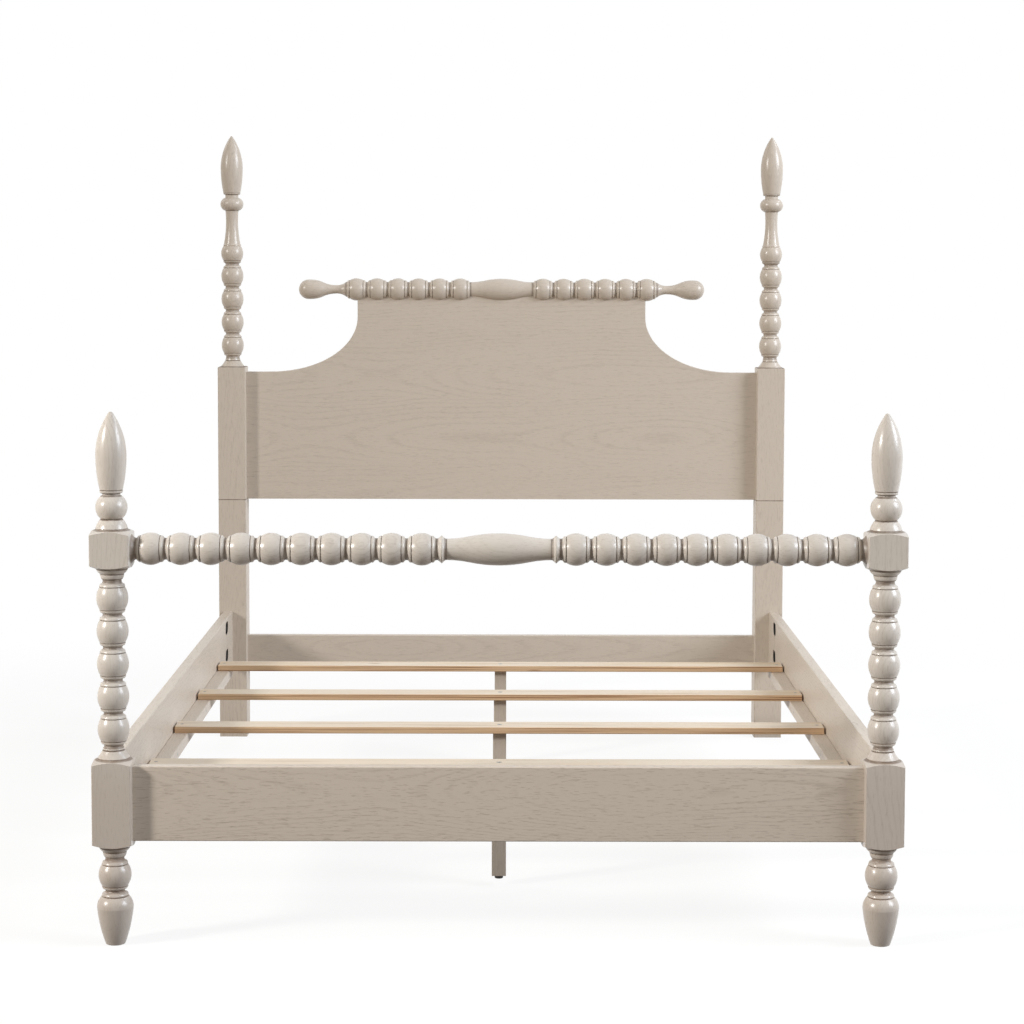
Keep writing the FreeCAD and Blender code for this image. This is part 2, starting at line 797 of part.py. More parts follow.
def side_rail(side):
    """A side rail with bolt holes in its ends and wrench pockets in its inner face."""
    low = min(side * rail_inner_x, side * rail_outer_x)
    high = max(side * rail_inner_x, side * rail_outer_x)
    board = eased(box(low, high, foot_face, head_face, rail_bottom, rail_top), Y_AXIS, board_round)
    holes = []
    for face, into, pocket in rail_ends():
        for height in bolt_heights:
            start = Vector(side * rail_mid_x, face, height)
            holes.append(rod(start, into, rail_bolt_hole, pocket))
            holes += wrench_pocket(side, face + into.y * pocket, height, into)
        centre = Vector(side * rail_mid_x, face, rail_bolt_height)
        holes.append(pin(centre, Y_AXIS, rail_dowel_radius + glue_gap, rail_dowel_half + hole_end_gap))
        line_y = face + into.y * (pocket + pocket_reach / 2)
        holes.append(rail_recess(side, line_y - pocket_line_width / 2, line_y + pocket_line_width / 2,
                                 *bolt_heights, pocket_line_depth))
    return board.cut(holes + ledger_pilots(side))


def rail_recess(side, y_low, y_high, z_low, z_high, depth):
    """A square-cornered recess in the inner face of a side rail."""
    mouth = side * rail_inner_x
    floor = side * (rail_inner_x + depth)
    return box(min(floor, mouth), max(floor, mouth), y_low, y_high, z_low, z_high)


def wrench_pocket(side, y, height, into):
    """A pocket with round ends: one end seats the half-moon washer, the rest lets a wrench swing."""
    far_y = y + into.y * pocket_reach
    ends = [rod(Vector(side * rail_inner_x, place, height), X_AXIS * side, pocket_radius, pocket_depth)
            for place in (y, far_y)]
    return ends + [rail_recess(side, min(y, far_y), max(y, far_y), height - pocket_radius,
                               height + pocket_radius, pocket_depth)]


def rail_fastenings():
    """The studs, inserts, half-moon washers, nuts and dowels of all four rail ends."""
    bolts = []
    inserts = []
    washers = []
    nuts = []
    dowels = []
    for side in (-1, 1):
        for face, into, pocket in rail_ends():
            for height in bolt_heights:
                seat = Vector(side * rail_mid_x, face, height)
                inner_end = seat - into * rail_bolt_depth
                chord = seat + into * (pocket - half_moon_chord)
                outer_end = chord + into * (rail_nut_height + rail_bolt_tail)
                reach = (outer_end - inner_end).Length
                bolts.append(rod(inner_end, into, rail_bolt_radius, reach))
                tube = rod(inner_end, into, rail_insert_radius, rail_bolt_depth)
                thread = rod(inner_end, into, rail_bolt_radius + running_gap, rail_bolt_depth)
                inserts.append(tube.cut(thread))
                washers.append(half_moon_washer(side, chord, into))
                nut = hex_prism(chord, into, rail_nut_flats, rail_nut_height)
                nuts.append(nut.cut(rod(chord, into, rail_bolt_radius + running_gap, rail_nut_height)))
            dowels.append(pin(Vector(side * rail_mid_x, face, rail_bolt_height), Y_AXIS,
                              rail_dowel_radius, rail_dowel_half))
    return bolts, inserts, washers, nuts, dowels


def half_moon_washer(side, chord, into):
    """The segment of the pocket's circle beyond the chord, with a hole for the stud."""
    centre = chord + into * half_moon_chord
    start = Vector(side * rail_mid_x, centre.y, centre.z) - X_AXIS * half_moon_width / 2
    disc = rod(start, X_AXIS, pocket_radius - glue_gap, half_moon_width)
    far = chord.y - into.y * pocket_radius
    keep = box(start.x, start.x + half_moon_width, min(chord.y, far), max(chord.y, far),
               chord.z - pocket_radius, chord.z + pocket_radius)
    hole = pin(chord, Y_AXIS, rail_bolt_hole, pocket_radius)
    return disc.common(keep).cut(hole)


def ledger_screw_places(side):
    span = ledger_half_length - ledger_screw_margin
    height = ledger_top - ledger_height / 2
    steps = ledger_screw_count - 1
    return [Vector(side * ledger_inner_x, rail_mid_y - span + 2 * span * i / steps, height)
            for i in range(ledger_screw_count)]


def countersunk(start, direction, radius, head_radius, head_height, length, gap):
    """A countersunk screw whose flat head is level with its start, or the hole it needs."""
    head = Part.makeCone(head_radius + gap, radius + gap, head_height, start, direction)
    return head.fuse(rod(start, direction, radius + gap, length + gap)).removeSplitter()


def wood_screw(start, direction, length, gap):
    return countersunk(start, direction, screw_radius, screw_head_radius, screw_head_height, length, gap)


def ledger_pilots(side):
    reach = ledger_width + ledger_screw_bite
    return [wood_screw(place, X_AXIS * side, reach, glue_gap) for place in ledger_screw_places(side)]


def slat_screw_places():
    return [p for y in slat_places for p in both_sides(ledger_mid_x, y, slat_top)]


def slat_screw(place, gap):
    return wood_screw(place, -Z_AXIS, slat_thickness + slat_screw_bite, gap)


def slat_ledger(side):
    """The square strip along the inside of a side rail that carries the slats."""
    low = min(side * ledger_inner_x, side * rail_inner_x)
    high = max(side * ledger_inner_x, side * rail_inner_x)
    strip = box(low, high, rail_mid_y - ledger_half_length, rail_mid_y + ledger_half_length,
                ledger_top - ledger_height, ledger_top)
    strip = eased(strip, Y_AXIS, board_round)
    pilots = [slat_screw(p, glue_gap) for p in slat_screw_places() if p.x * side > 0]
    return strip.cut(ledger_pilots(side) + pilots)


def leg_screw(y, gap):
    """The stout countersunk screw down through a slat into its centre leg."""
    return countersunk(Vector(0, y, slat_top), -Z_AXIS, leg_screw_radius, leg_screw_head_radius,
                       leg_screw_head_height, slat_thickness + leg_screw_bite, gap)


def slat(y):
    """One pine slat with its screw holes."""
    half = rail_inner_x - slat_end_gap
    board = box(-half, half, y - slat_width / 2, y + slat_width / 2, slat_bottom, slat_top)
    board = eased(board, X_AXIS, slat_round)
    holes = [slat_screw(p, glue_gap) for p in slat_screw_places() if abs(p.y - y) < slat_width]
    return board.cut(holes + [leg_screw(y, glue_gap)])


def support_leg(y):
    """The square centre leg under a slat, bored from below for its glide."""
    half = support_leg_size / 2
    stock = box(-half, half, y - half, y + half, support_leg_bottom, slat_bottom)
    leg = eased(stock, Z_AXIS, support_leg_round)
    foot = Vector(0, y, support_leg_bottom)
    insert_seat = foot + Z_AXIS * glide_counterbore_depth
    bore_seat = insert_seat + Z_AXIS * glide_insert_length
    return leg.cut([
        rod(foot, Z_AXIS, glide_counterbore_radius, glide_counterbore_depth),
        rod(insert_seat, Z_AXIS, glide_insert_radius + glue_gap, glide_insert_length),
        rod(bore_seat, Z_AXIS, glide_bore_radius, glide_bore_length),
        leg_screw(y, glue_gap),
    ])


def glide_insert(y):
    """The threaded sleeve pressed into the bottom of a centre leg."""
    seat = Vector(0, y, support_leg_bottom + glide_counterbore_depth)
    sleeve = rod(seat, Z_AXIS, glide_insert_radius, glide_insert_length)
    return sleeve.cut(rod(seat, Z_AXIS, glide_stem_radius + running_gap, glide_insert_length))


def glide_stem(y):
    """The glide's screw: a pin in the pad, a hexagon for the spanner and the thread above."""
    pin_bottom = glide_pad_bottom + glide_floor_skin + running_gap
    lower = rod(Vector(0, y, pin_bottom), Z_AXIS, glide_pin_radius, glide_hex_bottom - pin_bottom)
    hexagon = hex_prism(Vector(0, y, glide_hex_bottom), Z_AXIS, glide_hex_flats, glide_hex_height)
    thread_bottom = glide_hex_bottom + glide_hex_height
    thread = rod(Vector(0, y, thread_bottom), Z_AXIS, glide_stem_radius, glide_stem_top - thread_bottom)
    return lower.fuse([hexagon, thread]).removeSplitter()


def glide_pad(y):
    """The dark round pad that meets the floor, with a socket for the stem's pin."""
    top = glide_pad_bottom + glide_pad_height
    turning = Turning(glide_pad_bottom, glide_pad_radius - glide_pad_round)
    corner = quarter_bulge(glide_pad_round)
    turning.arc(glide_pad_bottom + glide_pad_round, glide_pad_radius, corner)
    turning.line(top - glide_pad_round, glide_pad_radius)
    turning.arc(top, glide_pad_radius - glide_pad_round, corner)
    pad = turning.solid()
    pad.translate(Vector(0, y, 0))
    floor = glide_pad_bottom + glide_floor_skin
    return pad.cut(rod(Vector(0, y, floor), Z_AXIS, glide_pin_radius + running_gap, glide_pad_height))


def build():
    """All pieces by name; a list is a group of separate solids."""
    pieces = {}
    for side, name in ((-1, "left"), (1, "right")):
        pieces["foot_post_" + name] = foot_post(side)
        pieces["head_leg_" + name] = head_leg(side)
        pieces["head_post_" + name] = head_post(side)
        pieces["head_spindle_" + name] = head_spindle(side)
        pieces["side_rail_" + name] = side_rail(side)
        pieces["slat_ledger_" + name] = slat_ledger(side)
    pieces["foot_spindle_rail"] = foot_spindle_rail()
    pieces["foot_rail"] = foot_rail()
    pieces["headboard_panel"] = headboard_panel()
    pieces["crest_rail"] = crest_rail()
    pieces["head_stretcher"] = head_stretcher()
    for number, y in enumerate(slat_places, 1):
        pieces["slat_%d" % number] = slat(y)
        pieces["support_leg_%d" % number] = support_leg(y)
        pieces["leveller_stem_%d" % number] = glide_stem(y)
        pieces["leveller_pad_%d" % number] = glide_pad(y)
    pieces["leveller_inserts"] = [glide_insert(y) for y in slat_places]
    pieces["support_leg_screws"] = [leg_screw(y, 0) for y in slat_places]
    pieces["slat_screws"] = [slat_screw(place, 0) for place in slat_screw_places()]
    pieces["ledger_screws"] = [wood_screw(place, X_AXIS * side, ledger_width + ledger_screw_bite, 0)
                               for side in (-1, 1) for place in ledger_screw_places(side)]
    bolts, inserts, washers, nuts, dowels = rail_fastenings()
    pieces["rail_bolts"] = bolts
    pieces["rail_bolt_inserts"] = inserts
    pieces["half_moon_washers"] = washers
    pieces["rail_bolt_nuts"] = nuts
    pieces["rail_dowels"] = dowels
    pieces["spindle_studs"] = [spindle_stud(side, 0) for side in (-1, 1)]
    joints = [leg_joint_pins(side, 0) for side in (-1, 1)]
    pieces["head_leg_studs"] = [pins[0] for pins in joints]
    pieces["head_leg_dowels"] = [dowel for pins in joints for dowel in pins[1:]]
    pieces["crest_dowels"] = [crest_dowel(place, crest_dowel_radius, 0) for place in crest_dowel_places()]
    pieces["head_stretcher_dowels"] = [pin(place, X_AXIS, dowel_radius, dowel_half)
                                       for side in (-1, 1) for place in stretcher_dowel_places(side)]
    pieces["foot_rail_dowels"] = [pin(place, X_AXIS, dowel_radius, dowel_half)
                                  for side in (-1, 1) for place in foot_rail_dowel_places(side)]
    return pieces


os.makedirs("parts", exist_ok=True)
for node, piece in build().items():
    shape = Part.makeCompound(piece) if isinstance(piece, list) else piece
    solids = shape.Solids
    if len(solids) == 1:
        shape = solids[0]
    shape.exportStep("parts/%s.step" % node)
    print(node, len(solids), "solids", round(shape.Volume / 1000.0, 1), "cm3", shape.isValid())
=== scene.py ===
# %% [markdown]
# # A spindle bed in painted oak
# The bed has bobbin-turned posts, a turned foot rail, a shaped headboard panel under a turned
# crest rail, and pine slats on screwed centre legs. Its solids are already made and packed, so
# this lesson loads them as a fixed frame, gives each one the finish of the real piece, and
# replaces only the small hardware that needs threads and driver recesses.

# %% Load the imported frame
import math

import bpy
import numpy as np
from mathutils import Matrix, Vector


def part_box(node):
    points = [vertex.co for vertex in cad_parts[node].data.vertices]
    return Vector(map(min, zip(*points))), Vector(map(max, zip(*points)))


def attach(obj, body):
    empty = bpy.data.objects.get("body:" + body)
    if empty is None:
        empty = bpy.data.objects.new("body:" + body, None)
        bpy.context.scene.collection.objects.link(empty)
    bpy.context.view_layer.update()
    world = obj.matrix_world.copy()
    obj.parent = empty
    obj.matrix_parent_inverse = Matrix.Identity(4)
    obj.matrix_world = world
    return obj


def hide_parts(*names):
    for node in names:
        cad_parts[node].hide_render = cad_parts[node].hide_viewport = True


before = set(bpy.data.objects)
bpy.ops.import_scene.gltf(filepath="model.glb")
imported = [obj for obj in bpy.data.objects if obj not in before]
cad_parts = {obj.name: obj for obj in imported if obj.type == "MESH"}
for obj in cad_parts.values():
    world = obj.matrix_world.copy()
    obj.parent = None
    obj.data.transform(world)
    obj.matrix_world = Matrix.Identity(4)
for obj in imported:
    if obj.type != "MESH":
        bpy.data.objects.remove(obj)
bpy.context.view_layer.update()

# %% [markdown]
# ## The camera
# The photograph was taken with a long lens, 1.4 m above the floor and well in front of the foot
# end, and its upright posts lean very little. A view camera keeps them upright by sliding its
# lens down instead of tilting. Here about a third of the framing is such a lens shift, and the
# rest is a tilt of four degrees. The place and the turns were worked out from corners of the
# posts and rails in the photograph, so that the bed falls on the same pixels.

# %% Set up the camera
PHOTO_SIDE = 1024
FOCAL_PIXELS = 2328.1
SENSOR_WIDTH = 36.0
LENS_SHIFT = -0.08
CAMERA_PLACE = (0.01366, -5.74783, 1.40277)
CAMERA_PITCH = 0.0734
CAMERA_YAW = 0.0026
CAMERA_ROLL = -0.0025


def make_camera():
    """A camera that looks along +Y, turned by a small yaw, pitch and roll."""
    lens = bpy.data.cameras.new("camera")
    lens.sensor_width = SENSOR_WIDTH
    lens.lens = FOCAL_PIXELS / PHOTO_SIDE * SENSOR_WIDTH
    lens.shift_y = LENS_SHIFT
    camera = bpy.data.objects.new("camera", lens)
    turn = (Matrix.Rotation(-CAMERA_YAW, 4, "Z")
            @ Matrix.Rotation(math.pi / 2 - CAMERA_PITCH, 4, "X")
            @ Matrix.Rotation(-CAMERA_ROLL, 4, "Z"))
    camera.matrix_world = Matrix.Translation(CAMERA_PLACE) @ turn
    scene.collection.objects.link(camera)
    return camera


scene = bpy.context.scene
scene.camera = make_camera()
scene.view_settings.view_transform = "Standard"
print("lens", round(scene.camera.data.lens, 2), "mm")

# %% [markdown]
# ## Small helpers for shader trees
# Every finish below is a tree of shader nodes. A tree could be put together by hand in the
# shader editor, but code can be read and used again. A few helpers keep it short: one sets a
# socket to a number or joins it to another socket, and the others add the nodes that are used
# again and again.

# %% Helpers for numbers in shader trees
def join(tree, socket, value):
    """Joins a socket to another socket, or sets it to a plain value."""
    if isinstance(value, bpy.types.NodeSocket):
        tree.links.new(value, socket)
    else:
        socket.default_value = value


def maths(tree, operation, *values):
    """One operation on numbers or sockets."""
    node = tree.nodes.new("ShaderNodeMath")
    node.operation = operation
    for socket, value in zip(node.inputs, values):
        join(tree, socket, value)
    return node.outputs[0]


def times(tree, first, second):
    """The product of two numbers or sockets."""
    return maths(tree, "MULTIPLY", first, second)


def around_zero(tree, value):
    """Moves a value from around 0.5 to around 0."""
    return maths(tree, "SUBTRACT", value, 0.5)


def between(tree, share, low, high):
    """Runs from low to high as a share runs from 0 to 1."""
    return maths(tree, "MULTIPLY_ADD", share, high - low, low)


def fade(tree, value, start, end):
    """A smooth step from 0 at start to 1 at end; it falls where end is below start."""
    node = tree.nodes.new("ShaderNodeMapRange")
    node.interpolation_type = "SMOOTHSTEP"
    join(tree, node.inputs["Value"], value)
    join(tree, node.inputs["From Min"], start)
    join(tree, node.inputs["From Max"], end)
    return node.outputs["Result"]


print("number helpers:", maths.__name__, times.__name__, between.__name__, fade.__name__)


# %% Helpers for vectors, noise and colours
def split(tree, vector):
    """The X, Y and Z parts of a vector."""
    node = tree.nodes.new("ShaderNodeSeparateXYZ")
    join(tree, node.inputs[0], vector)
    return node.outputs


def stretch(tree, vector, scale):
    """Scales a vector by three numbers, so that a pattern read from it is drawn out or squeezed."""
    node = tree.nodes.new("ShaderNodeVectorMath")
    node.operation = "MULTIPLY"
    join(tree, node.inputs[0], vector)
    node.inputs[1].default_value = scale
    return node.outputs[0]


def cloud(tree, vector, blotches, detail=2.0):
    """Soft noise around 0.5, with so many blotches to a metre along each part of the vector."""
    node = tree.nodes.new("ShaderNodeTexNoise")
    join(tree, node.inputs["Vector"], stretch(tree, vector, blotches))
    node.inputs["Scale"].default_value = 1.0
    node.inputs["Detail"].default_value = detail
    return node.outputs["Fac"]


def blend_colour(tree, share, first, second):
    """The first colour where the share is 0, and the second where it is 1."""
    node = tree.nodes.new("ShaderNodeMix")
    node.data_type = "RGBA"
    join(tree, node.inputs["Factor"], share)
    join(tree, node.inputs["A"], first)
    join(tree, node.inputs["B"], second)
    return node.outputs["Result"]


def colour(red, green, blue):
    """A colour as a screen names it, 0 to 255, turned by the sRGB curve into linear light."""
    shown = np.array([red, green, blue]) / 255
    linear = np.where(shown < 0.04045, shown / 12.92, ((shown + 0.055) / 1.055) ** 2.4)
    return (*linear.tolist(), 1.0)


print("mid grey in linear light:", round(colour(128, 128, 128)[0], 3))

# %% [markdown]
# ## A white sky
# The bed stands in a white studio. Bright lamps could wash a grey room out to white, but they
# would wash the bed out too. So the sky is white only to rays that look at it, from the camera,
# a mirror or glass. To rays that carry light it is a soft fill, a little warm as the shadows in
# the photograph are.

# %% Make the white world
SKY_FILL = (0.325, 0.308, 0.284, 1.0)
WHITE = (1.0, 1.0, 1.0, 1.0)


def seen_directly(tree):
    """1 for rays from the camera, a mirror or glass, and 0 for rays that carry light."""
    path = tree.nodes.new("ShaderNodeLightPath")
    shiny = maths(tree, "MAXIMUM", path.outputs["Is Glossy Ray"], path.outputs["Is Transmission Ray"])
    return maths(tree, "MAXIMUM", path.outputs["Is Camera Ray"], shiny)


def make_world():
    """A sky that is white where it is seen, and a dim fill where it lights."""
    world = bpy.data.worlds.new("studio")
    world.use_nodes = True
    tree = world.node_tree
    sky = tree.nodes["Background"]
    sky.inputs["Strength"].default_value = 1.0
    join(tree, sky.inputs["Color"], blend_colour(tree, seen_directly(tree), SKY_FILL, WHITE))
    scene.world = world


make_world()
print("sky fill", SKY_FILL[:3])

# %% [markdown]
# ## A floor that keeps the shadow
# The floor is white to the eye in the same way, by a glow. A glow shows no shadow, so near the bed
# a share of the floor is plain white paint, and the bed's shadow stays on it. To rays that carry
# light the floor is a dull grey, with a darker mat in front of the foot end: the undersides of the
# real beads are dark, so little light came back up from below.

# %% Masks for the floor
MAT_Y = -1.4
MAT_HALF_WIDE = (1.6, 1.2)
MAT_HALF_LONG = (1.0, 0.7)
SHADOW_SHARE = 0.16
SHADOW_REACH = (3.4, 1.6)


def mat_mask(tree, place):
    """1 on the mat and 0 off it. Each pair of half sizes is where it is gone and where it is full."""
    across, forward, _ = split(tree, place)
    beside = maths(tree, "ABSOLUTE", across)
    before = maths(tree, "ABSOLUTE", maths(tree, "SUBTRACT", forward, MAT_Y))
    return times(tree, fade(tree, beside, *MAT_HALF_WIDE), fade(tree, before, *MAT_HALF_LONG))


def glow_share(tree, place):
    """How much of the seen floor is glow: all of it far away, and less near the bed."""
    length = tree.nodes.new("ShaderNodeVectorMath")
    length.operation = "LENGTH"
    join(tree, length.inputs[0], place)
    near = fade(tree, length.outputs["Value"], *SHADOW_REACH)
    return maths(tree, "SUBTRACT", 1.0, times(tree, near, SHADOW_SHARE))


print("shadows stay within", SHADOW_REACH[0], "m of the middle")

# %% Make the floor
FLOOR_HALF = 30.0
FLOOR_SEEN = colour(250, 249, 247)
FLOOR_BOUNCE = colour(152, 139, 123)
MAT_BOUNCE = colour(64, 52, 44)


def floor_material():
    """Paint under a white glow; the glow is for seen rays only, and other rays meet dull paint."""
    material = bpy.data.materials.new("white_floor")
    material.use_nodes = True
    tree = material.node_tree
    tree.nodes.clear()
    place = tree.nodes.new("ShaderNodeTexCoord").outputs["Object"]
    seen = seen_directly(tree)
    bounce = blend_colour(tree, mat_mask(tree, place), FLOOR_BOUNCE, MAT_BOUNCE)
    paint = tree.nodes.new("ShaderNodeBsdfDiffuse")
    join(tree, paint.inputs["Color"], blend_colour(tree, seen, bounce, FLOOR_SEEN))
    glow = tree.nodes.new("ShaderNodeEmission")
    mix = tree.nodes.new("ShaderNodeMixShader")
    join(tree, mix.inputs["Fac"], times(tree, glow_share(tree, place), seen))
    join(tree, mix.inputs[1], paint.outputs[0])
    join(tree, mix.inputs[2], glow.outputs[0])
    output = tree.nodes.new("ShaderNodeOutputMaterial")
    join(tree, output.inputs["Surface"], mix.outputs[0])
    return material


def make_floor():
    """One large square at the height of the bed's feet."""
    mesh = bpy.data.meshes.new("floor")
    signs = [(-1, -1), (1, -1), (1, 1), (-1, 1)]
    corners = [(x * FLOOR_HALF, y * FLOOR_HALF, 0.0) for x, y in signs]
    mesh.from_pydata(corners, [], [(0, 1, 2, 3)])
    mesh.materials.append(floor_material())
    floor = bpy.data.objects.new("floor", mesh)
    scene.collection.objects.link(floor)


make_floor()
print("floor", 2 * FLOOR_HALF, "m wide")

# %% [markdown]
# ## Five lamps
# The gleams on the beads say where the lamps stood. Each bead has a small gleam left of its
# middle, from a small lamp at the front left. Two more sit near its upper left and right edges,
# from rim lamps behind the bed. The posts also throw a soft shadow on the panel from the right,
# so a large lamp stood there too. A lamp is placed by its bearing from the camera side, its
# height angle and how wide it looks from the bed. The lamp at the front left has a narrow spread,
# so it lights the foot end and leaves the head. A weak lamp behind keeps the back from being lost
# in shade, and leaves no gleams.

# %% Hang the lamps
BED_MIDDLE = Vector((0.0, 0.0, 0.75))
FOOT_END = Vector((0.0, -1.2, 0.7))
LAMP_DISTANCE = 9.0
WARM = (1.0, 0.98, 0.95)
COOL = (0.93, 1.0, 1.1)


def hang_lamp(name, aim, bearing, height, wide, watts, tint, spread=180, gleams=True):
    """A round lamp that faces its aim; bearing, height and spread are angles in degrees. A narrow
    spread gathers its light near the aim. Without gleams it lights the paint but isn't mirrored."""
    side = math.radians(bearing)
    rise = math.radians(height)
    towards = Vector((math.sin(side) * math.cos(rise), -math.cos(side) * math.cos(rise), math.sin(rise)))
    light = bpy.data.lights.new(name, "AREA")
    light.shape = "DISK"
    light.size = wide * LAMP_DISTANCE
    light.spread = math.radians(spread)
    light.energy = watts
    light.color = tint
    lamp = bpy.data.objects.new(name, light)
    place = Matrix.Translation(aim + towards * LAMP_DISTANCE)
    lamp.matrix_world = place @ towards.to_track_quat("Z", "Y").to_matrix().to_4x4()
    lamp.visible_camera = False
    lamp.visible_glossy = gleams
    scene.collection.objects.link(lamp)
    print(name, "at", [round(number, 2) for number in lamp.matrix_world.translation])


hang_lamp("key_left", FOOT_END, bearing=-66, height=23, wide=0.16, watts=58, tint=WARM, spread=50)
hang_lamp("soft_right", BED_MIDDLE, bearing=70, height=25, wide=0.5, watts=690, tint=COOL)
hang_lamp("rim_left", BED_MIDDLE, bearing=-115, height=36, wide=0.4, watts=60, tint=WARM)
hang_lamp("rim_right", BED_MIDDLE, bearing=105, height=42, wide=0.25, watts=110, tint=COOL)
hang_lamp("soft_back", BED_MIDDLE, bearing=180, height=20, wide=0.6, watts=200, tint=COOL, gleams=False)

# %% [markdown]
# ## Node groups
# Grain and glaze are used by many finishes with other values each time. Copying their nodes into
# every material would work, but a node group is built once and placed in each material. Two
# helpers make a group with named sockets and place it.

# %% Helpers for node groups
VECTOR = "NodeSocketVector"
NUMBER = "NodeSocketFloat"


def start_group(name, inputs, outputs):
    """A node group with named inputs and outputs; gives the tree and its two end nodes."""
    group = bpy.data.node_groups.new(name, "ShaderNodeTree")
    for label, kind in inputs:
        group.interface.new_socket(label, in_out="INPUT", socket_type=kind)
    for label in outputs:
        group.interface.new_socket(label, in_out="OUTPUT", socket_type=NUMBER)
    given = group.nodes.new("NodeGroupInput")
    result = group.nodes.new("NodeGroupOutput")
    return group, given.outputs, result.inputs


def use_group(tree, group, **values):
    """Places a node group in a tree; underscores in the value names stand for spaces."""
    node = tree.nodes.new("ShaderNodeGroup")
    node.node_tree = group
    for label, value in values.items():
        join(tree, node.inputs[label.replace("_", " ")], value)
    return node.outputs


print("group sockets:", VECTOR, NUMBER)

# %% [markdown]
# ## Oak rings
# Oak shows its rings as bands of open pores. The rings are long cylinders round the tree's pith,
# so the pattern is worked out in the solid wood and not drawn on the surface: the distance from
# a pith line that wanders in depth gives the tall arches of plain-sawn boards on the faces and
# straight lines on the edges. A wide panel is glued from boards, so space is cut into boards and
# layers, and each gets its own pith by chance. The vector's first part runs along the grain.

# %% Cut the wood into boards
LAYER_DEPTH = 0.2
BOARDS_PER_LAYER = 17.0


def board_at(tree, across, through, width):
    """The board and the layer that a point is in, and a number that is that board's own."""
    board = maths(tree, "FLOOR", maths(tree, "DIVIDE", across, width))
    layer = maths(tree, "ROUND", maths(tree, "DIVIDE", through, LAYER_DEPTH))
    return board, layer, maths(tree, "MULTIPLY_ADD", layer, BOARDS_PER_LAYER, board)


def by_chance(tree, number):
    """Two numbers from 0 to 1 that are the same all over one board."""
    node = tree.nodes.new("ShaderNodeTexWhiteNoise")
    node.noise_dimensions = "1D"
    join(tree, node.inputs["W"], number)
    first, second, _ = split(tree, node.outputs["Color"])
    return first, second


print("layers of boards", LAYER_DEPTH, "m apart")

# %% Find the distance from the pith
WALK_PACE = 1.1
WALK_APART = 7.3
WALK_REACH = 0.16
EVEN = (1.0, 1.0, 1.0)
WOBBLE_GRAIN = (8.0, 30.0, 30.0)
WOBBLE_REACH = 0.016
PITH_SHARE = (0.25, 0.75)
PITH_DEPTH = (0.01, 0.04)


def pith_walk(tree, along, number):
    """A slow walk around 0 along a board; each board's number picks another line of the noise."""
    line = tree.nodes.new("ShaderNodeCombineXYZ")
    join(tree, line.inputs["X"], times(tree, along, WALK_PACE))
    join(tree, line.inputs["Y"], times(tree, number, WALK_APART))
    return around_zero(tree, cloud(tree, line.outputs[0], EVEN, detail=1.0))


def pith_distance(tree, vector, width):
    """The root of the squared distance to the side of the pith plus the squared depth below it.
    The pith is in the middle half of its board, at a depth by chance that walks along the board."""
    along, across, through = split(tree, vector)
    board, layer, number = board_at(tree, across, through, width)
    shift, depth = by_chance(tree, number)
    wobble = around_zero(tree, cloud(tree, vector, WOBBLE_GRAIN))
    pith = times(tree, maths(tree, "ADD", board, between(tree, shift, *PITH_SHARE)), width)
    side = maths(tree, "MULTIPLY_ADD", wobble, WOBBLE_REACH, maths(tree, "SUBTRACT", across, pith))
    down = maths(tree, "ABSOLUTE", maths(tree, "MULTIPLY_ADD", layer, -LAYER_DEPTH, through))
    down = maths(tree, "ADD", down, between(tree, depth, *PITH_DEPTH))
    down = maths(tree, "MULTIPLY_ADD", pith_walk(tree, along, number), WALK_REACH, down)
    squares = maths(tree, "ADD", times(tree, side, side), times(tree, down, down))
    return maths(tree, "SQRT", squares)


print("piths walk up to", WALK_REACH / 2, "m in depth")

# %% [markdown]
# ## The oak grain group
# The ring number is the distance from the pith over the ring width. Where a ring begins, the early
# wood has large pores, which show as a thin dark line with ragged edges. It has gaps, and the paint
# fills it in places. Between the lines, smaller pores are short dashes. A photograph of oak would
# show all this too, but it would not fit boards of other sizes or turned posts.

# %% Build the oak grain group
JAG_GRAIN = (45.0, 200.0, 200.0)
JAG_REACH = 0.5
LINE_START = (0.0, 0.08)
LINE_END = (0.45, 0.1)
BREAK_GRAIN = (36.0, 300.0, 300.0)
BREAK_STEP = (0.38, 0.58)
BROKEN_LEAST = 0.4
FILL_GRAIN = (2.2, 11.0, 11.0)
FILL_STEP = (0.36, 0.6)
FILLED_LEAST = 0.2
DASH_GRAIN = (52.0, 480.0, 480.0)
DASH_STEP = (0.57, 0.7)
DRIFT_GRAIN = (1.6, 14.0, 14.0)


def ring_lines(tree, vector, rings):
    """A line starts where the ring number's fraction is 0 and fades out before the next ring."""
    jag = around_zero(tree, cloud(tree, vector, JAG_GRAIN))
    saw = maths(tree, "FRACT", maths(tree, "MULTIPLY_ADD", jag, JAG_REACH, rings))
    lines = times(tree, fade(tree, saw, *LINE_START), fade(tree, saw, *LINE_END))
    whole = fade(tree, cloud(tree, vector, BREAK_GRAIN), *BREAK_STEP)
    lines = times(tree, lines, between(tree, whole, BROKEN_LEAST, 1.0))
    bare = fade(tree, cloud(tree, vector, FILL_GRAIN), *FILL_STEP)
    return times(tree, lines, between(tree, bare, FILLED_LEAST, 1.0))


def oak_grain_group():
    """Lines, pores and a tone that drifts slowly around 0.5, for a board and a ring width."""
    group, given, result = start_group(
        "oak_grain", [("Vector", VECTOR), ("Board Width", NUMBER), ("Ring Width", NUMBER)],
        ["Lines", "Pores", "Tone"])
    vector = given["Vector"]
    distance = pith_distance(group, vector, given["Board Width"])
    rings = maths(group, "DIVIDE", distance, given["Ring Width"])
    join(group, result["Lines"], ring_lines(group, vector, rings))
    join(group, result["Pores"], fade(group, cloud(group, vector, DASH_GRAIN, detail=1.0), *DASH_STEP))
    join(group, result["Tone"], cloud(group, vector, DRIFT_GRAIN))
    return group


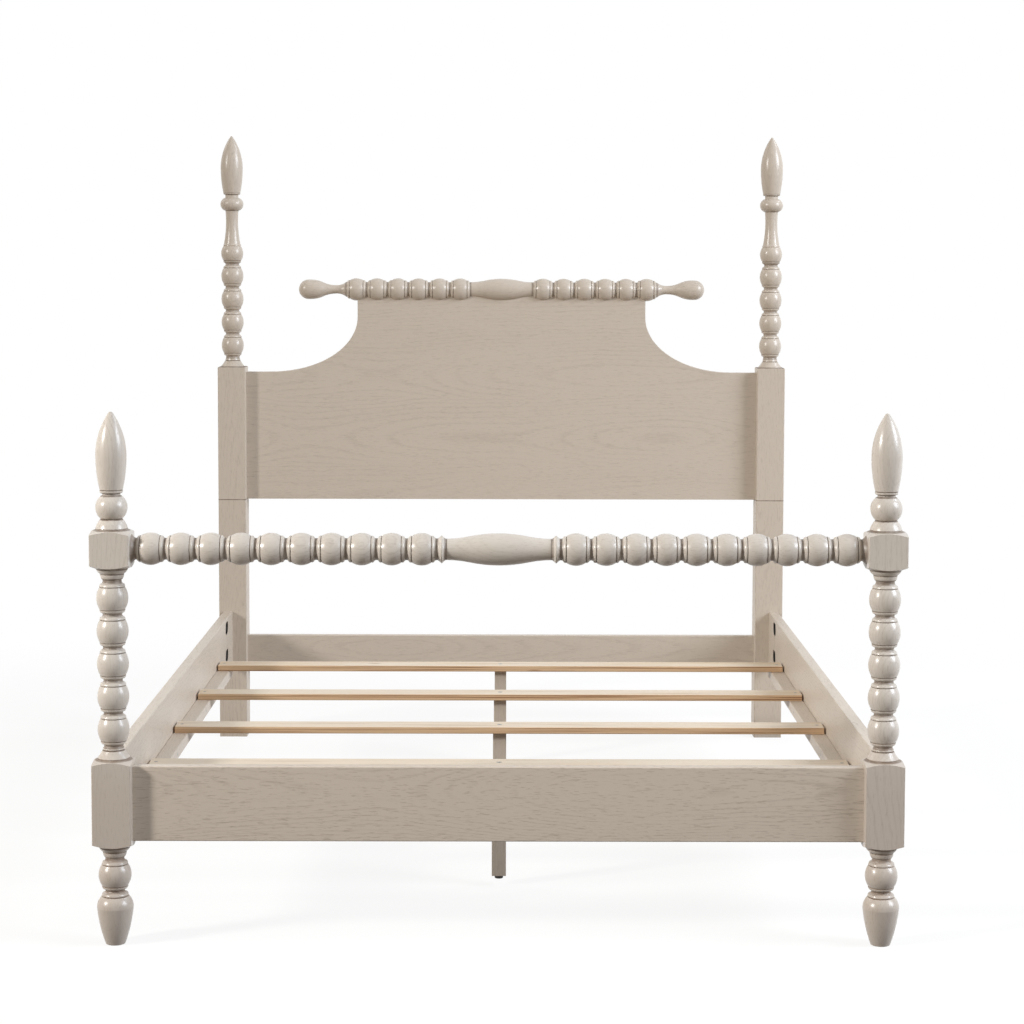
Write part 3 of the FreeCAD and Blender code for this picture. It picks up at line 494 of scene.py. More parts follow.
oak_grain = oak_grain_group()
print("oak grain group:", len(oak_grain.nodes), "nodes")

# %% [markdown]
# ## Glaze and painted shade in the hollows
# After the greige paint dried, a brown glaze was wiped over the turned pieces and stayed where
# the cloth couldn't reach: in the necks between the beads, in the scribed lines beside them, and
# at the foot of each collar. The same brown also stands in for the shade that falls in these
# hollows, so it is partly real glaze and partly painted shade. A shader can find hollows by how a
# mesh bends, but that changes with the mesh. The turnings are known, so the brown is placed by the
# distance along the axis: one group serves a run of equal beads, another one a single hollow.

# %% Build the glaze groups
NECK_REACH = 0.005
NECK_FULL = 0.001
SCRIBE_PLACE = 0.0104
SCRIBE_REACH = 0.0013
SCRIBE_FULL = 0.0005
RUN_MARGIN = 0.08


def bead_glaze_and_shade_group():
    """In a run of equal beads, the distance to the nearest neck says where the glaze and painted
    shade are: close to the neck they fill the cove, and a little further out the scribed line."""
    inputs = [("Along", NUMBER), ("Start", NUMBER), ("Pitch", NUMBER), ("Count", NUMBER)]
    group, given, result = start_group("bead_glaze_and_shade", inputs, ["Glaze"])
    beads = maths(group, "DIVIDE", maths(group, "SUBTRACT", given["Along"], given["Start"]), given["Pitch"])
    from_neck = times(group, maths(group, "PINGPONG", beads, 0.5), given["Pitch"])
    cove = fade(group, from_neck, NECK_REACH, NECK_FULL)
    off_line = maths(group, "ABSOLUTE", maths(group, "SUBTRACT", from_neck, SCRIBE_PLACE))
    scribe = fade(group, off_line, SCRIBE_REACH, SCRIBE_FULL)
    after_start = maths(group, "GREATER_THAN", beads, -RUN_MARGIN)
    before_end = maths(group, "LESS_THAN", beads, maths(group, "ADD", given["Count"], RUN_MARGIN))
    inside = times(group, after_start, before_end)
    join(group, result["Glaze"], times(group, maths(group, "MAXIMUM", cove, scribe), inside))
    return group


def hollow_glaze_and_shade_group():
    """A single hollow: full up to its half width and gone at twice that."""
    inputs = [("Along", NUMBER), ("Centre", NUMBER), ("Half Width", NUMBER)]
    group, given, result = start_group("hollow_glaze_and_shade", inputs, ["Glaze"])
    off = maths(group, "ABSOLUTE", maths(group, "SUBTRACT", given["Along"], given["Centre"]))
    edge = times(group, given["Half Width"], 2.0)
    join(group, result["Glaze"], fade(group, off, edge, given["Half Width"]))
    return group


bead_glaze_and_shade = bead_glaze_and_shade_group()
hollow_glaze_and_shade = hollow_glaze_and_shade_group()
print("glaze groups:", bead_glaze_and_shade.name, hollow_glaze_and_shade.name)

# %% [markdown]
# ## Painted oak
# The paint is thin, so the oak shows through it: each pore is a tiny dent that holds a little
# darker glaze, and the ring lines tint the paint by a few percent. One function makes the finish
# for a grain direction. It turns the wood so that the grain runs along the group's first part.

# %% Helpers for finishes
def new_material(name):
    """A material with a Principled shader to fill in."""
    material = bpy.data.materials.new(name)
    material.use_nodes = True
    material.node_tree.nodes.new("ShaderNodeTexCoord")
    return material


def parts_of(material):
    """A material's tree, the place of a point on its piece, and its shader."""
    tree = material.node_tree
    return tree, tree.nodes["Texture Coordinate"].outputs["Object"], tree.nodes["Principled BSDF"]


def paint_over(tree, shader, share, over):
    """Lays a colour over the one that the shader has, by a share from 0 to 1."""
    under = shader.inputs["Base Color"].links[0].from_socket
    join(tree, shader.inputs["Base Color"], blend_colour(tree, share, under, over))


def add_bump(tree, shader, height, strength, distance):
    """Bends the light as if the surface rose by the height times the distance, in metres."""
    bump = tree.nodes.new("ShaderNodeBump")
    bump.inputs["Strength"].default_value = strength
    bump.inputs["Distance"].default_value = distance
    join(tree, bump.inputs["Height"], height)
    join(tree, shader.inputs["Normal"], bump.outputs[0])


def dress(material, *names):
    """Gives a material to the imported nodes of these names."""
    for name in names:
        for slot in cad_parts[name].material_slots:
            slot.material = material
    print(material.name, "on", ", ".join(names))


print("finish helpers:", new_material.__name__, paint_over.__name__, add_bump.__name__, dress.__name__)

# %% Painted oak
GREIGE = colour(199, 187, 173)
PORE_SHADE = colour(132, 116, 100)
GRAIN_TURN = {"x": (-90, 0, 0), "y": (-90, -90, 0), "z": (90, 0, 90)}
TONE_SHARE = 0.3
LINE_SHARE = 0.4
PORE_SHARE = 0.45
PORE_ROUGHNESS = 0.15
LINE_DENT = -0.3
PORE_DENT = -1.0
DENT_DEPTH = 0.0003


def turned_to_grain(tree, place, grain):
    """The place of a point, turned so that its first part runs along the grain."""
    mapping = tree.nodes.new("ShaderNodeMapping")
    join(tree, mapping.inputs["Vector"], place)
    mapping.inputs["Rotation"].default_value = [math.radians(angle) for angle in GRAIN_TURN[grain]]
    return mapping.outputs[0]


def painted_oak(name, grain, board, ring, strength, paint=GREIGE, gloss=0.42, dent=0.3):
    """Paint over oak with boards and rings of these widths; strength says how much grain shows."""
    material = new_material(name)
    tree, place, shader = parts_of(material)
    vector = turned_to_grain(tree, place, grain)
    wood = use_group(tree, oak_grain, Vector=vector, Board_Width=board, Ring_Width=ring)
    shade = times(tree, around_zero(tree, wood["Tone"]), TONE_SHARE)
    shade = maths(tree, "MULTIPLY_ADD", wood["Lines"], LINE_SHARE, shade)
    shade = maths(tree, "MULTIPLY_ADD", wood["Pores"], PORE_SHARE, shade)
    shade = times(tree, shade, strength)
    join(tree, shader.inputs["Base Color"], blend_colour(tree, shade, paint, PORE_SHADE))
    join(tree, shader.inputs["Roughness"], maths(tree, "MULTIPLY_ADD", wood["Pores"], PORE_ROUGHNESS, gloss))
    pores = times(tree, wood["Pores"], PORE_DENT)
    add_bump(tree, shader, maths(tree, "MULTIPLY_ADD", wood["Lines"], LINE_DENT, pores), dent, DENT_DEPTH)
    return material


print("grain can run along", ", ".join(GRAIN_TURN))

# %% [markdown]
# ## Boards
# The flat pieces are boards of painted oak. One material for all would run the grain the wrong
# way on some, so each kind has its own. The panel's rings are wide and calm, and the foot rail's
# are close and show most. The centre legs stand in the shade of the bed, so their greige is a
# little darker: painted shade.

# %% Dress the boards
# Painted shade: the centre legs' greige is darkened for the shade under the slats.
GREIGE_PAINTED_SHADE = colour(184, 172, 158)
NUMBERS = range(1, 5)
support_legs = [f"support_leg_{number}" for number in NUMBERS]
leg_oak_painted_shade = painted_oak("oak_support_legs_painted_shade", "z", board=0.3, ring=0.007, strength=0.4, paint=GREIGE_PAINTED_SHADE)

dress(painted_oak("oak_panel", "x", board=0.2, ring=0.009, strength=0.38), "headboard_panel")
dress(painted_oak("oak_foot_rail", "x", board=0.2, ring=0.005, strength=0.7), "foot_rail")
dress(painted_oak("oak_stretcher", "x", board=0.18, ring=0.007, strength=0.35), "head_stretcher")
dress(painted_oak("oak_ledgers", "y", board=0.2, ring=0.006, strength=0.35),
      "slat_ledger_left", "slat_ledger_right")
dress(leg_oak_painted_shade, *support_legs)

# %% [markdown]
# ## Painted shade in the wrench pockets
# Each side rail has two slots near each end, where a wrench reaches the bolts. Inside they are
# painted near black: painted shade for the dark inside of the slots. The rail keeps its shape from
# the frame, so the painted shade is a mask in its material: a slot is all the points within one
# radius of a short line, below the face of the rail. Its place is worked out from the rail's box
# and the bolts' box.

# %% Places of the pockets
BOLT_RADIUS = 0.004
POCKET_FROM_FOOT = 0.065
POCKET_FROM_HEAD = 0.125
POCKET_HALF_LINE = 0.014
rail_low, rail_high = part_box("side_rail_right")
bolts_low, bolts_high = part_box("rail_bolts")
foot_pocket_y = POCKET_FROM_FOOT + POCKET_HALF_LINE - rail_high.y
head_pocket_y = rail_high.y - POCKET_FROM_HEAD - POCKET_HALF_LINE
pocket_heights = (bolts_low.z + BOLT_RADIUS, bolts_high.z - BOLT_RADIUS)
print("pockets at y", round(foot_pocket_y, 4), round(head_pocket_y, 4), "z", np.round(pocket_heights, 4))

# %% Painted oak with painted shade in the pockets
# Painted shade: a near-black colour laid inside the pockets, where shade falls.
POCKET_PAINTED_SHADE = colour(24, 20, 18)
POCKET_RADIUS = 0.018
POCKET_SHADE_MARGIN = 0.0005
POCKET_SHADE_START = (0.0004, 0.002)
BACK_SKIN = 0.001


def nearest(tree, value, first, second):
    """How far a value is from the nearer of two places."""
    return maths(tree, "MINIMUM", maths(tree, "ABSOLUTE", maths(tree, "SUBTRACT", value, first)),
                 maths(tree, "ABSOLUTE", maths(tree, "SUBTRACT", value, second)))


def pocket_shade_mask(tree, place):
    """1 inside a pocket: the distance to the slot's middle line is under its radius."""
    x, y, z = split(tree, place)
    depth = maths(tree, "SUBTRACT", maths(tree, "ABSOLUTE", x), rail_low.x)
    short_of_back = maths(tree, "LESS_THAN", depth, rail_high.x - rail_low.x - BACK_SKIN)
    inside = times(tree, fade(tree, depth, *POCKET_SHADE_START), short_of_back)
    past_line = maths(tree, "SUBTRACT", nearest(tree, y, foot_pocket_y, head_pocket_y), POCKET_HALF_LINE)
    past_line = maths(tree, "MAXIMUM", past_line, 0.0)
    off = nearest(tree, z, *pocket_heights)
    reach = maths(tree, "MULTIPLY_ADD", past_line, past_line, times(tree, off, off))
    in_shade = maths(tree, "LESS_THAN", reach, (POCKET_RADIUS + POCKET_SHADE_MARGIN) ** 2)
    return times(tree, inside, in_shade)


def rail_oak(name):
    """Painted oak along the rail, with near-black painted shade in the pockets."""
    material = painted_oak(name, "y", board=0.2, ring=0.008, strength=0.35)
    tree, place, shader = parts_of(material)
    paint_over(tree, shader, pocket_shade_mask(tree, place), POCKET_PAINTED_SHADE)
    return material


dress(rail_oak("oak_side_rails"), "side_rail_left", "side_rail_right")

# %% [markdown]
# ## Painted oak with glaze and painted shade
# The turned pieces share the paint and the grain, and add the glaze, which also paints in the
# shade of the hollows. A list of bead runs, each with its start, its pitch and how many beads it
# has, and a list of hollows, each with its centre and half width, say in metres along the axis
# where it gathers. A slow cloud makes it uneven, as a cloth would.

# %% Painted oak for turnings
# Brown for the turnings' hollows: partly real glaze, partly painted shade where shade falls in them.
GLAZE_AND_SHADE = colour(104, 86, 71)
GLAZE_AND_SHADE_PATCHES = (60.0, 60.0, 60.0)
PATCH_STEP = (0.2, 0.7)
PATCH_LEAST = 0.6
GLAZE_ROUGHNESS = 0.25


def glaze_and_shade_places(tree, along, runs, hollows):
    """The strongest of all the glaze and painted shade masks of one turning."""
    total = 0.0
    for start, pitch, count in runs:
        mask = use_group(tree, bead_glaze_and_shade, Along=along, Start=start, Pitch=pitch, Count=count)["Glaze"]
        total = maths(tree, "MAXIMUM", total, mask)
    for centre, half_width in hollows:
        mask = use_group(tree, hollow_glaze_and_shade, Along=along, Centre=centre, Half_Width=half_width)["Glaze"]
        total = maths(tree, "MAXIMUM", total, mask)
    return total


def glazed_and_shaded_oak(name, grain, runs, hollows, left, **finish):
    """Painted oak with a share of glaze and painted shade along its axis. A piece along X has it
    mirrored about the bed's middle."""
    material = painted_oak(name, grain, board=0.3, ring=0.006, strength=0.4, **finish)
    tree, place, shader = parts_of(material)
    x, _, z = split(tree, place)
    along = maths(tree, "ABSOLUTE", x if grain == "x" else z)
    mask = glaze_and_shade_places(tree, along, runs, hollows)
    patchy = fade(tree, cloud(tree, place, GLAZE_AND_SHADE_PATCHES), *PATCH_STEP)
    amount = times(tree, mask, between(tree, patchy, PATCH_LEAST, 1.0))
    amount = times(tree, amount, left)
    # The brown laid over the paint here is partly glaze and partly painted shade.
    paint_over(tree, shader, amount, GLAZE_AND_SHADE)
    smooth = shader.inputs["Roughness"].links[0].from_socket
    join(tree, shader.inputs["Roughness"], maths(tree, "MULTIPLY_ADD", amount, GLAZE_ROUGHNESS, smooth))
    return material


print("glaze colour in linear light", np.round(GLAZE_AND_SHADE[:3], 3))

# %% [markdown]
# ## Foot posts and foot spindle rail
# Each foot post is one turning with two square blocks left in it. It has a vase foot, a bead, the
# lower block, five beads, the upper block, and a spear on a ball. The rail between the upper
# blocks has ten beads on each side of its vase. Below the beads a brown painted shade darkens the
# paint towards the floor, where less light reaches. It could be a second material, but a fade by
# height in the same one leaves no seam.

# %% Painted shade low on the foot
# Painted shade: a brown darkening of the foot posts' paint towards the floor.
LOW_PAINTED_SHADE = colour(137, 101, 70)
LOW_PAINTED_SHADE_SHARE = 0.2
LOW_PAINTED_SHADE_FADE = (0.5, 0.3)


def add_low_painted_shade(material):
    """Lays a brown painted shade over the paint, from none at the beads to full on the lower block."""
    tree, place, shader = parts_of(material)
    height = split(tree, place)["Z"]
    paint_over(tree, shader, times(tree, fade(tree, height, *LOW_PAINTED_SHADE_FADE), LOW_PAINTED_SHADE_SHARE), LOW_PAINTED_SHADE)
    return material


# Shows where the painted shade low on the foot begins.
print("wash below", LOW_PAINTED_SHADE_FADE[0], "m")

# %% Dress the foot posts and the foot spindle rail
# The turned foot pieces get a lighter, greyer greige than the boards; that shift is painted sheen for the
# grey gloss on their curves.
FOOT_TURNED = {"paint": colour(200, 192, 182), "gloss": 0.28, "dent": 0.02}
FOOT_GLAZE_AND_SHADE_LEFT = 0.85
post_runs = [(0.111, 0.0655, 1), (0.411, 0.0674, 5)]
vase_foot = [(0.1006, 0.0008)]
under_low_block = [(0.179, 0.003), (0.1926, 0.0009), (0.2035, 0.0015)]
over_low_block = [(0.385, 0.0015), (0.4029, 0.0009), (0.4097, 0.002)]
under_high_block = [(0.751, 0.003), (0.7641, 0.0009), (0.775, 0.0015)]
over_high_block = [(0.855, 0.0015), (0.8755, 0.0012)]
under_spear = [(0.9235, 0.0012), (0.928, 0.001), (0.9346, 0.0008)]
post_hollows = vase_foot + under_low_block + over_low_block + under_high_block
post_hollows += over_high_block + under_spear
post_oak = glazed_and_shaded_oak("oak_foot_posts", "z", post_runs, post_hollows, FOOT_GLAZE_AND_SHADE_LEFT, **FOOT_TURNED)
dress(add_low_painted_shade(post_oak), "foot_post_left", "foot_post_right")

rail_runs = [(0.126, 0.06105, 10)]
rail_hollows = [(0.108, 0.002), (0.125, 0.0015), (0.739, 0.004)]
dress(glazed_and_shaded_oak("oak_spindle_rail", "x", rail_runs, rail_hollows, FOOT_GLAZE_AND_SHADE_LEFT, **FOOT_TURNED),
      "foot_spindle_rail")

# %% [markdown]
# ## The head end
# The square head posts stand on the head legs at a seam, and the turned spindles stand on the
# posts. A seam shows as a fine dark line, so it is a narrow hollow in the same finish. The
# spindles and the crest rail are turned like the foot posts, with less glaze and painted shade
# left on them.

# %% Dress the head posts, their legs, the head spindles and the crest rail
HEAD_TURNED = {"gloss": 0.28, "dent": 0.02}
SEAM_GLAZE_LEFT = 0.9
HEAD_GLAZE_AND_SHADE_LEFT = 0.55
post_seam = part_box("head_leg_left")[1].z
spindle_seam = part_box("head_post_left")[1].z
seams = [(post_seam, 0.0009), (spindle_seam, 0.0007)]
dress(glazed_and_shaded_oak("oak_head_uprights", "z", [], seams, SEAM_GLAZE_LEFT),
      "head_leg_left", "head_leg_right", "head_post_left", "head_post_right")

spindle_runs = [(1.1158, 0.0673, 4)]
under_beads = [(1.0875, 0.001), (1.1049, 0.0009), (1.1135, 0.002)]
over_beads = [(1.388, 0.003), (1.3954, 0.0009)]
under_head_spear = [(1.5405, 0.001), (1.5868, 0.0009), (1.5915, 0.0008)]
spindle_hollows = under_beads + over_beads + under_head_spear
dress(glazed_and_shaded_oak("oak_head_spindles", "z", spindle_runs, spindle_hollows, HEAD_GLAZE_AND_SHADE_LEFT, **HEAD_TURNED),
      "head_spindle_left", "head_spindle_right")

crest_runs = [(0.09025, 0.0605, 6)]
crest_hollows = [(0.09025, 0.0015), (0.4545, 0.001)]
dress(glazed_and_shaded_oak("oak_crest_rail", "x", crest_runs, crest_hollows, HEAD_GLAZE_AND_SHADE_LEFT, **HEAD_TURNED),
      "crest_rail")

# %% [markdown]
# ## Pine slats
# The slats are unpainted pine: cream on the planed tops, browner on the sawn edges, with grain
# along the slat and a dark knot here and there. Two materials could do it, one for the tops and one
# for the edges, but the slat is one solid, and the way a face points tells a top from an edge.

# %% Pine for the slats
PINE_TOP = colour(218, 204, 184)
PINE_HEART = colour(207, 186, 156)
PINE_EDGE = colour(206, 174, 138)
PINE_GRAIN = colour(140, 100, 66)
FACING_UP = (0.8, 0.97)
FINE_GRAIN = (5.0, 170.0, 170.0)
BROAD_GRAIN = (1.3, 24.0, 40.0)
KNOT_PLACES = (3.4, 12.0, 12.0)
SAW_MARKS = (2.2, 60.0, 420.0)
HEART_PATCHES = (1.1, 9.0, 9.0)
FINE_STEP = (0.46, 0.72)
BROAD_STEP = (0.35, 0.65)
KNOT_STEP = (0.1, 0.03)
SAW_STEP = (0.5, 0.66)
HEART_STEP = (0.5, 0.7)
PINE_LINE_SHARE = 0.35
KNOT_SHARE = 0.6
PINE_ROUGHNESS = (0.5, 0.7)


def pine_grain(tree, place, fine):
    """Where the wood is dark: fine lines in broad bands, or a knot, whichever is darker."""
    broad = cloud(tree, place, BROAD_GRAIN)
    lines = times(tree, fade(tree, fine, *FINE_STEP), fade(tree, broad, *BROAD_STEP))
    knots = tree.nodes.new("ShaderNodeTexVoronoi")
    join(tree, knots.inputs["Vector"], stretch(tree, place, KNOT_PLACES))
    knots.inputs["Scale"].default_value = 1.0
    knot = fade(tree, knots.outputs["Distance"], *KNOT_STEP)
    lines = times(tree, lines, PINE_LINE_SHARE)
    return maths(tree, "MAXIMUM", lines, times(tree, knot, KNOT_SHARE))


def pine_ground(tree, place):
    """The wood between the lines: cream or heartwood on top, and saw-marked brown on the edges."""
    facing = split(tree, tree.nodes.new("ShaderNodeNewGeometry").outputs["Normal"])
    sawn = fade(tree, cloud(tree, place, SAW_MARKS), *SAW_STEP)
    heart = fade(tree, cloud(tree, place, HEART_PATCHES), *HEART_STEP)
    edge = blend_colour(tree, sawn, PINE_EDGE, PINE_GRAIN)
    top = blend_colour(tree, heart, PINE_TOP, PINE_HEART)
    return blend_colour(tree, fade(tree, facing["Z"], *FACING_UP), edge, top)


def pine(name):
    """Pine with its grain along X; the fine lines also roughen and dent it."""
    material = new_material(name)
    tree, place, shader = parts_of(material)
    fine = cloud(tree, place, FINE_GRAIN, detail=3.0)
    shade = pine_grain(tree, place, fine)
    join(tree, shader.inputs["Base Color"], blend_colour(tree, shade, pine_ground(tree, place), PINE_GRAIN))
    join(tree, shader.inputs["Roughness"], between(tree, fine, *PINE_ROUGHNESS))
    add_bump(tree, shader, fine, strength=0.3, distance=0.0004)
    return material


dress(pine("pine_slats"), *[f"slat_{number}" for number in NUMBERS])

# %% [markdown]
# ## Beech dowels
# The dowels that line up the joints are beech, a pale wood with short brown flecks. They are seen
# only when the bed is taken apart, so one even cloud, cut to its peaks, makes the flecks.

# %% Beech for the dowels
BEECH = colour(206, 172, 132)
BEECH_FLECK = colour(150, 112, 78)
FLECKS = (260.0, 260.0, 260.0)
FLECK_STEP = (0.5, 0.75)
BEECH_ROUGHNESS = (0.55, 0.7)


def beech(name):
    """Pale wood with flecks that are a little rougher and raised."""
    material = new_material(name)
    tree, place, shader = parts_of(material)
    flecks = fade(tree, cloud(tree, place, FLECKS), *FLECK_STEP)
    join(tree, shader.inputs["Base Color"], blend_colour(tree, flecks, BEECH, BEECH_FLECK))
    join(tree, shader.inputs["Roughness"], between(tree, flecks, *BEECH_ROUGHNESS))
    add_bump(tree, shader, flecks, strength=0.3, distance=0.0003)
    return material


dress(beech("beech_dowels"), "rail_dowels", "head_leg_dowels", "crest_dowels", "head_stretcher_dowels",
      "foot_rail_dowels")

# %% [markdown]
# ## Zinc-plated hardware
# Bolts, nuts, inserts and screws are steel with a thin zinc plating. It is a cloudy grey metal with
# fine scratches, so one cloud changes both its colour and its gloss, and a drawn-out one dents it.

# %% Zinc-plated steel
ZINC_LIGHT = colour(184, 184, 182)
ZINC_DARK = colour(136, 136, 136)
PLATING_CLOUDS = (240.0, 240.0, 240.0)
SCRATCHES = (3000.0, 900.0, 300.0)
ZINC_ROUGHNESS = (0.25, 0.5)


def zinc_steel(name):
    """Metal whose lighter clouds are also rougher."""
    material = new_material(name)
    tree, place, shader = parts_of(material)
    plating = cloud(tree, place, PLATING_CLOUDS, detail=3.0)
    scratches = cloud(tree, place, SCRATCHES)
    join(tree, shader.inputs["Base Color"], blend_colour(tree, plating, ZINC_DARK, ZINC_LIGHT))
    shader.inputs["Metallic"].default_value = 1.0
    join(tree, shader.inputs["Roughness"], between(tree, plating, *ZINC_ROUGHNESS))
    add_bump(tree, shader, scratches, strength=0.15, distance=0.0001)
    return material


zinc = zinc_steel("zinc_steel")
dress(zinc, "rail_bolt_inserts", "half_moon_washers", "rail_bolt_nuts", "spindle_studs", "head_leg_studs",
      "leveller_inserts")

# %% [markdown]
# ## Glide pads
# The glides stand on pads of dark plastic. Such pads come dull from a sanded mould and wear lighter
# in patches, so a fine cloud dents them and a coarse one changes their colour and gloss.

# %% Moulded plastic for the glide pads
PAD_DARK = colour(46, 44, 43)
PAD_LIGHT = colour(66, 63, 61)
SAND_GRAINS = (2500.0, 2500.0, 2500.0)
SCUFFS = (180.0, 180.0, 180.0)
PAD_ROUGHNESS = (0.4, 0.7)


def pad_plastic(name):
    """Dark plastic with a sandy dent and lighter, duller scuffs."""
    material = new_material(name)
    tree, place, shader = parts_of(material)
    sand = cloud(tree, place, SAND_GRAINS)
    scuffs = cloud(tree, place, SCUFFS, detail=3.0)
    join(tree, shader.inputs["Base Color"], blend_colour(tree, scuffs, PAD_DARK, PAD_LIGHT))
    join(tree, shader.inputs["Roughness"], between(tree, scuffs, *PAD_ROUGHNESS))
    add_bump(tree, shader, sand, strength=0.3, distance=0.0001)
    return material


dress(pad_plastic("pad_plastic"), *[f"leveller_pad_{number}" for number in NUMBERS])

# %% [markdown]
# ## Skins through rings
# The frame keeps the small hardware as plain rods and cones. Up close, a screw has a driver recess
# and a bolt has a thread, so these few are made again as surfaces. Each is a stack of rings: the
# radius depends on the height and on the angle, worked out as whole arrays. One helper joins the
# rings into closed skins, and it can take many copies at once.

# %% A helper that joins rings into a skin
SHARP_EDGE = math.radians(35)


def skin(name, rings, body, *replaced):
    """Joins rings of points, an array of copies by levels by places around by 3. Levels go up the
    outside, places go anticlockwise, and each end ring closes on a point in its middle."""
    copies, levels, around = rings.shape[:3]
    ends = np.stack([rings[:, 0].mean(axis=1), rings[:, -1].mean(axis=1)], axis=1)
    points = np.concatenate([rings.reshape(copies, -1, 3), ends], axis=1)
    here = np.arange(levels * around).reshape(levels, around)
    ahead = np.roll(here, -1, axis=1)
    walls = np.stack([here[:-1], ahead[:-1], ahead[1:], here[1:]], axis=-1).reshape(-1, 4)
    tip = np.full(around, levels * around)
    bottom = np.stack([ahead[0], here[0], tip], axis=-1)
    top = np.stack([here[-1], ahead[-1], tip + 1], axis=-1)
    step = np.arange(copies)[:, None, None] * points.shape[1]
    faces = sum([(part + step).reshape(-1, part.shape[1]).tolist() for part in (walls, bottom, top)], [])
    mesh = bpy.data.meshes.new(name)
    mesh.from_pydata(points.reshape(-1, 3), [], faces)
    mesh.shade_smooth()
    mesh.set_sharp_from_angle(angle=SHARP_EDGE)
    mesh.materials.append(zinc)
    piece = bpy.data.objects.new(name, mesh)
    scene.collection.objects.link(piece)
    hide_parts(*replaced)
    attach(piece, body)
    print(name, "has", len(mesh.polygons), "faces and rides on", body)


print("sharp from", round(math.degrees(SHARP_EDGE)), "degrees")

# %% [markdown]
# ## Threads
# A thread is a ridge that climbs by one pitch in each turn, so its radius is a triangle wave of
# the height in pitches less the angle in turns. Swept profiles and screw modifiers make threads
# too, but they leave loose ends. As a radius on rings, the thread stays one closed skin with the
# plain rod next to it.

# %% Thread helpers
AROUND = 24
ANGLE = np.arange(AROUND) * 2 * np.pi / AROUND
PITCH = 0.00125
THREAD_CREST = 0.00397
THREAD_ROOT = 0.0033
STEPS_PER_TURN = 12
CHAMFER = 0.0005


def thread_levels(low, high):
    """Heights that sample the thread evenly from low to high."""
    return np.linspace(low, high, round((high - low) / PITCH * STEPS_PER_TURN) + 1)


def thread_radius(heights):
    """Root plus a triangle wave of height / pitch - angle / turn; the ridge fades in at both ends."""
    wave = heights[:, None] / PITCH - ANGLE / (2 * np.pi)
    ridge = np.abs(2 * (wave % 1) - 1)
    ends = np.minimum(heights - heights[0], heights[-1] - heights) / PITCH
    return THREAD_ROOT + (THREAD_CREST - THREAD_ROOT) * ridge * np.clip(ends, 0, 1)[:, None]


def round_levels(radii):
    """Repeats one radius for each level all the way round."""
    return np.array(radii)[:, None] * np.ones(AROUND)


def upright_rings(heights, radius):
    """Places the radius of each level and angle round the Z axis."""
    level = np.broadcast_to(heights[:, None], radius.shape)
    return np.stack([radius * np.cos(ANGLE), radius * np.sin(ANGLE), level], axis=-1)


print("thread depth", round((THREAD_CREST - THREAD_ROOT) * 1000, 2), "mm")

# %% [markdown]
# ## Glide stems
# Under each centre leg a glide screws in and out to level the bed. Its stem has a round pin below,
# which turns in the pad, then a hexagon for a spanner, then the thread. The three could be three
# pieces, but the real stem is one, and one stack of rings takes all three.

# %% Glide stems
PIN_RADIUS = 0.003
PIN_BOTTOM = 0.0175
HEX_FLATS = 0.010
HEX_BOTTOM = 0.025
HEX_TOP = 0.029
STEM_TOP = 0.080


def middle_of(node):
    """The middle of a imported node's box."""
    low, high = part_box(node)
    return (low + high) / 2


def glide_stem_rings():
    """A pin with a chamfer, a hexagon, and a thread up to the top. A hexagon's radius is half its
    width across the flats over the cosine of the angle from the nearest flat."""
    from_flat = (ANGLE + np.pi / 6) % (np.pi / 3) - np.pi / 6
    hexagon = HEX_FLATS / 2 / np.cos(from_flat)
    thread = thread_levels(HEX_TOP, STEM_TOP)
    lower = [PIN_BOTTOM, PIN_BOTTOM + CHAMFER, HEX_BOTTOM, HEX_BOTTOM, HEX_TOP]
    pin = round_levels([PIN_RADIUS - CHAMFER, PIN_RADIUS, PIN_RADIUS])
    radius = np.concatenate([pin, [hexagon, hexagon], thread_radius(thread)])
    return upright_rings(np.concatenate([lower, thread]), radius)


for number in NUMBERS:
    stem = f"leveller_stem_{number}"
    rings = glide_stem_rings() + np.array([0.0, middle_of(stem).y, 0.0])
    skin(f"glide_stem_{number}", rings[None], stem, stem)

# %% [markdown]
# ## Rail bolts
# Eight bolts run from inserts in the posts into the pockets of the side rails, where washers and
# nuts hold them. Only the ends in the pockets can be seen, so the bolts get a thread there and
# stay plain inside the wood. The same rings are made upright and then laid down along Y.

# %% Rail bolts
BOLT_THREADED = 0.024
BOLT_SHORT_OF_MIDDLE = 0.0125
bolt_x = (rail_low.x + rail_high.x) / 2
bolt_inner = bolts_high.y


def rail_bolt_rings(end, pocket_y):
    """The four bolts of one end: a rod from inside the post, then a thread as far as the pocket.
    The end is -1 for the foot and 1 for the head."""
    length = bolt_inner - abs(pocket_y) - BOLT_SHORT_OF_MIDDLE
    thread = thread_levels(length - BOLT_THREADED, length)
    heights = np.concatenate([[0.0, CHAMFER, thread[0]], thread])
    rod = round_levels([THREAD_CREST - CHAMFER, THREAD_CREST, THREAD_CREST])
    radius = np.concatenate([rod, thread_radius(thread)])
    across, up, along = np.moveaxis(upright_rings(heights, radius), -1, 0)
    return np.stack([np.stack([side * bolt_x + across, end * (bolt_inner - along), z + end * up], axis=-1)
                     for side in (-1, 1) for z in pocket_heights])


bolt_rings = np.concatenate([rail_bolt_rings(-1, foot_pocket_y), rail_bolt_rings(1, head_pocket_y)])
skin("rail_bolt_threads", bolt_rings, "frame", "rail_bolts")

# %% [markdown]
# ## Countersunk screws with a cross recess
# The slats, the ledgers and the centre legs are held by flat-headed screws. A recess could be cut
# with a boolean, which often leaves slivers. Here each screw is one stack of rings from the point
# up to the rim and then inwards over the head. Over the head the height dips where a ring crosses
# one of two slots at right angles, with soft edges, which makes the cross.

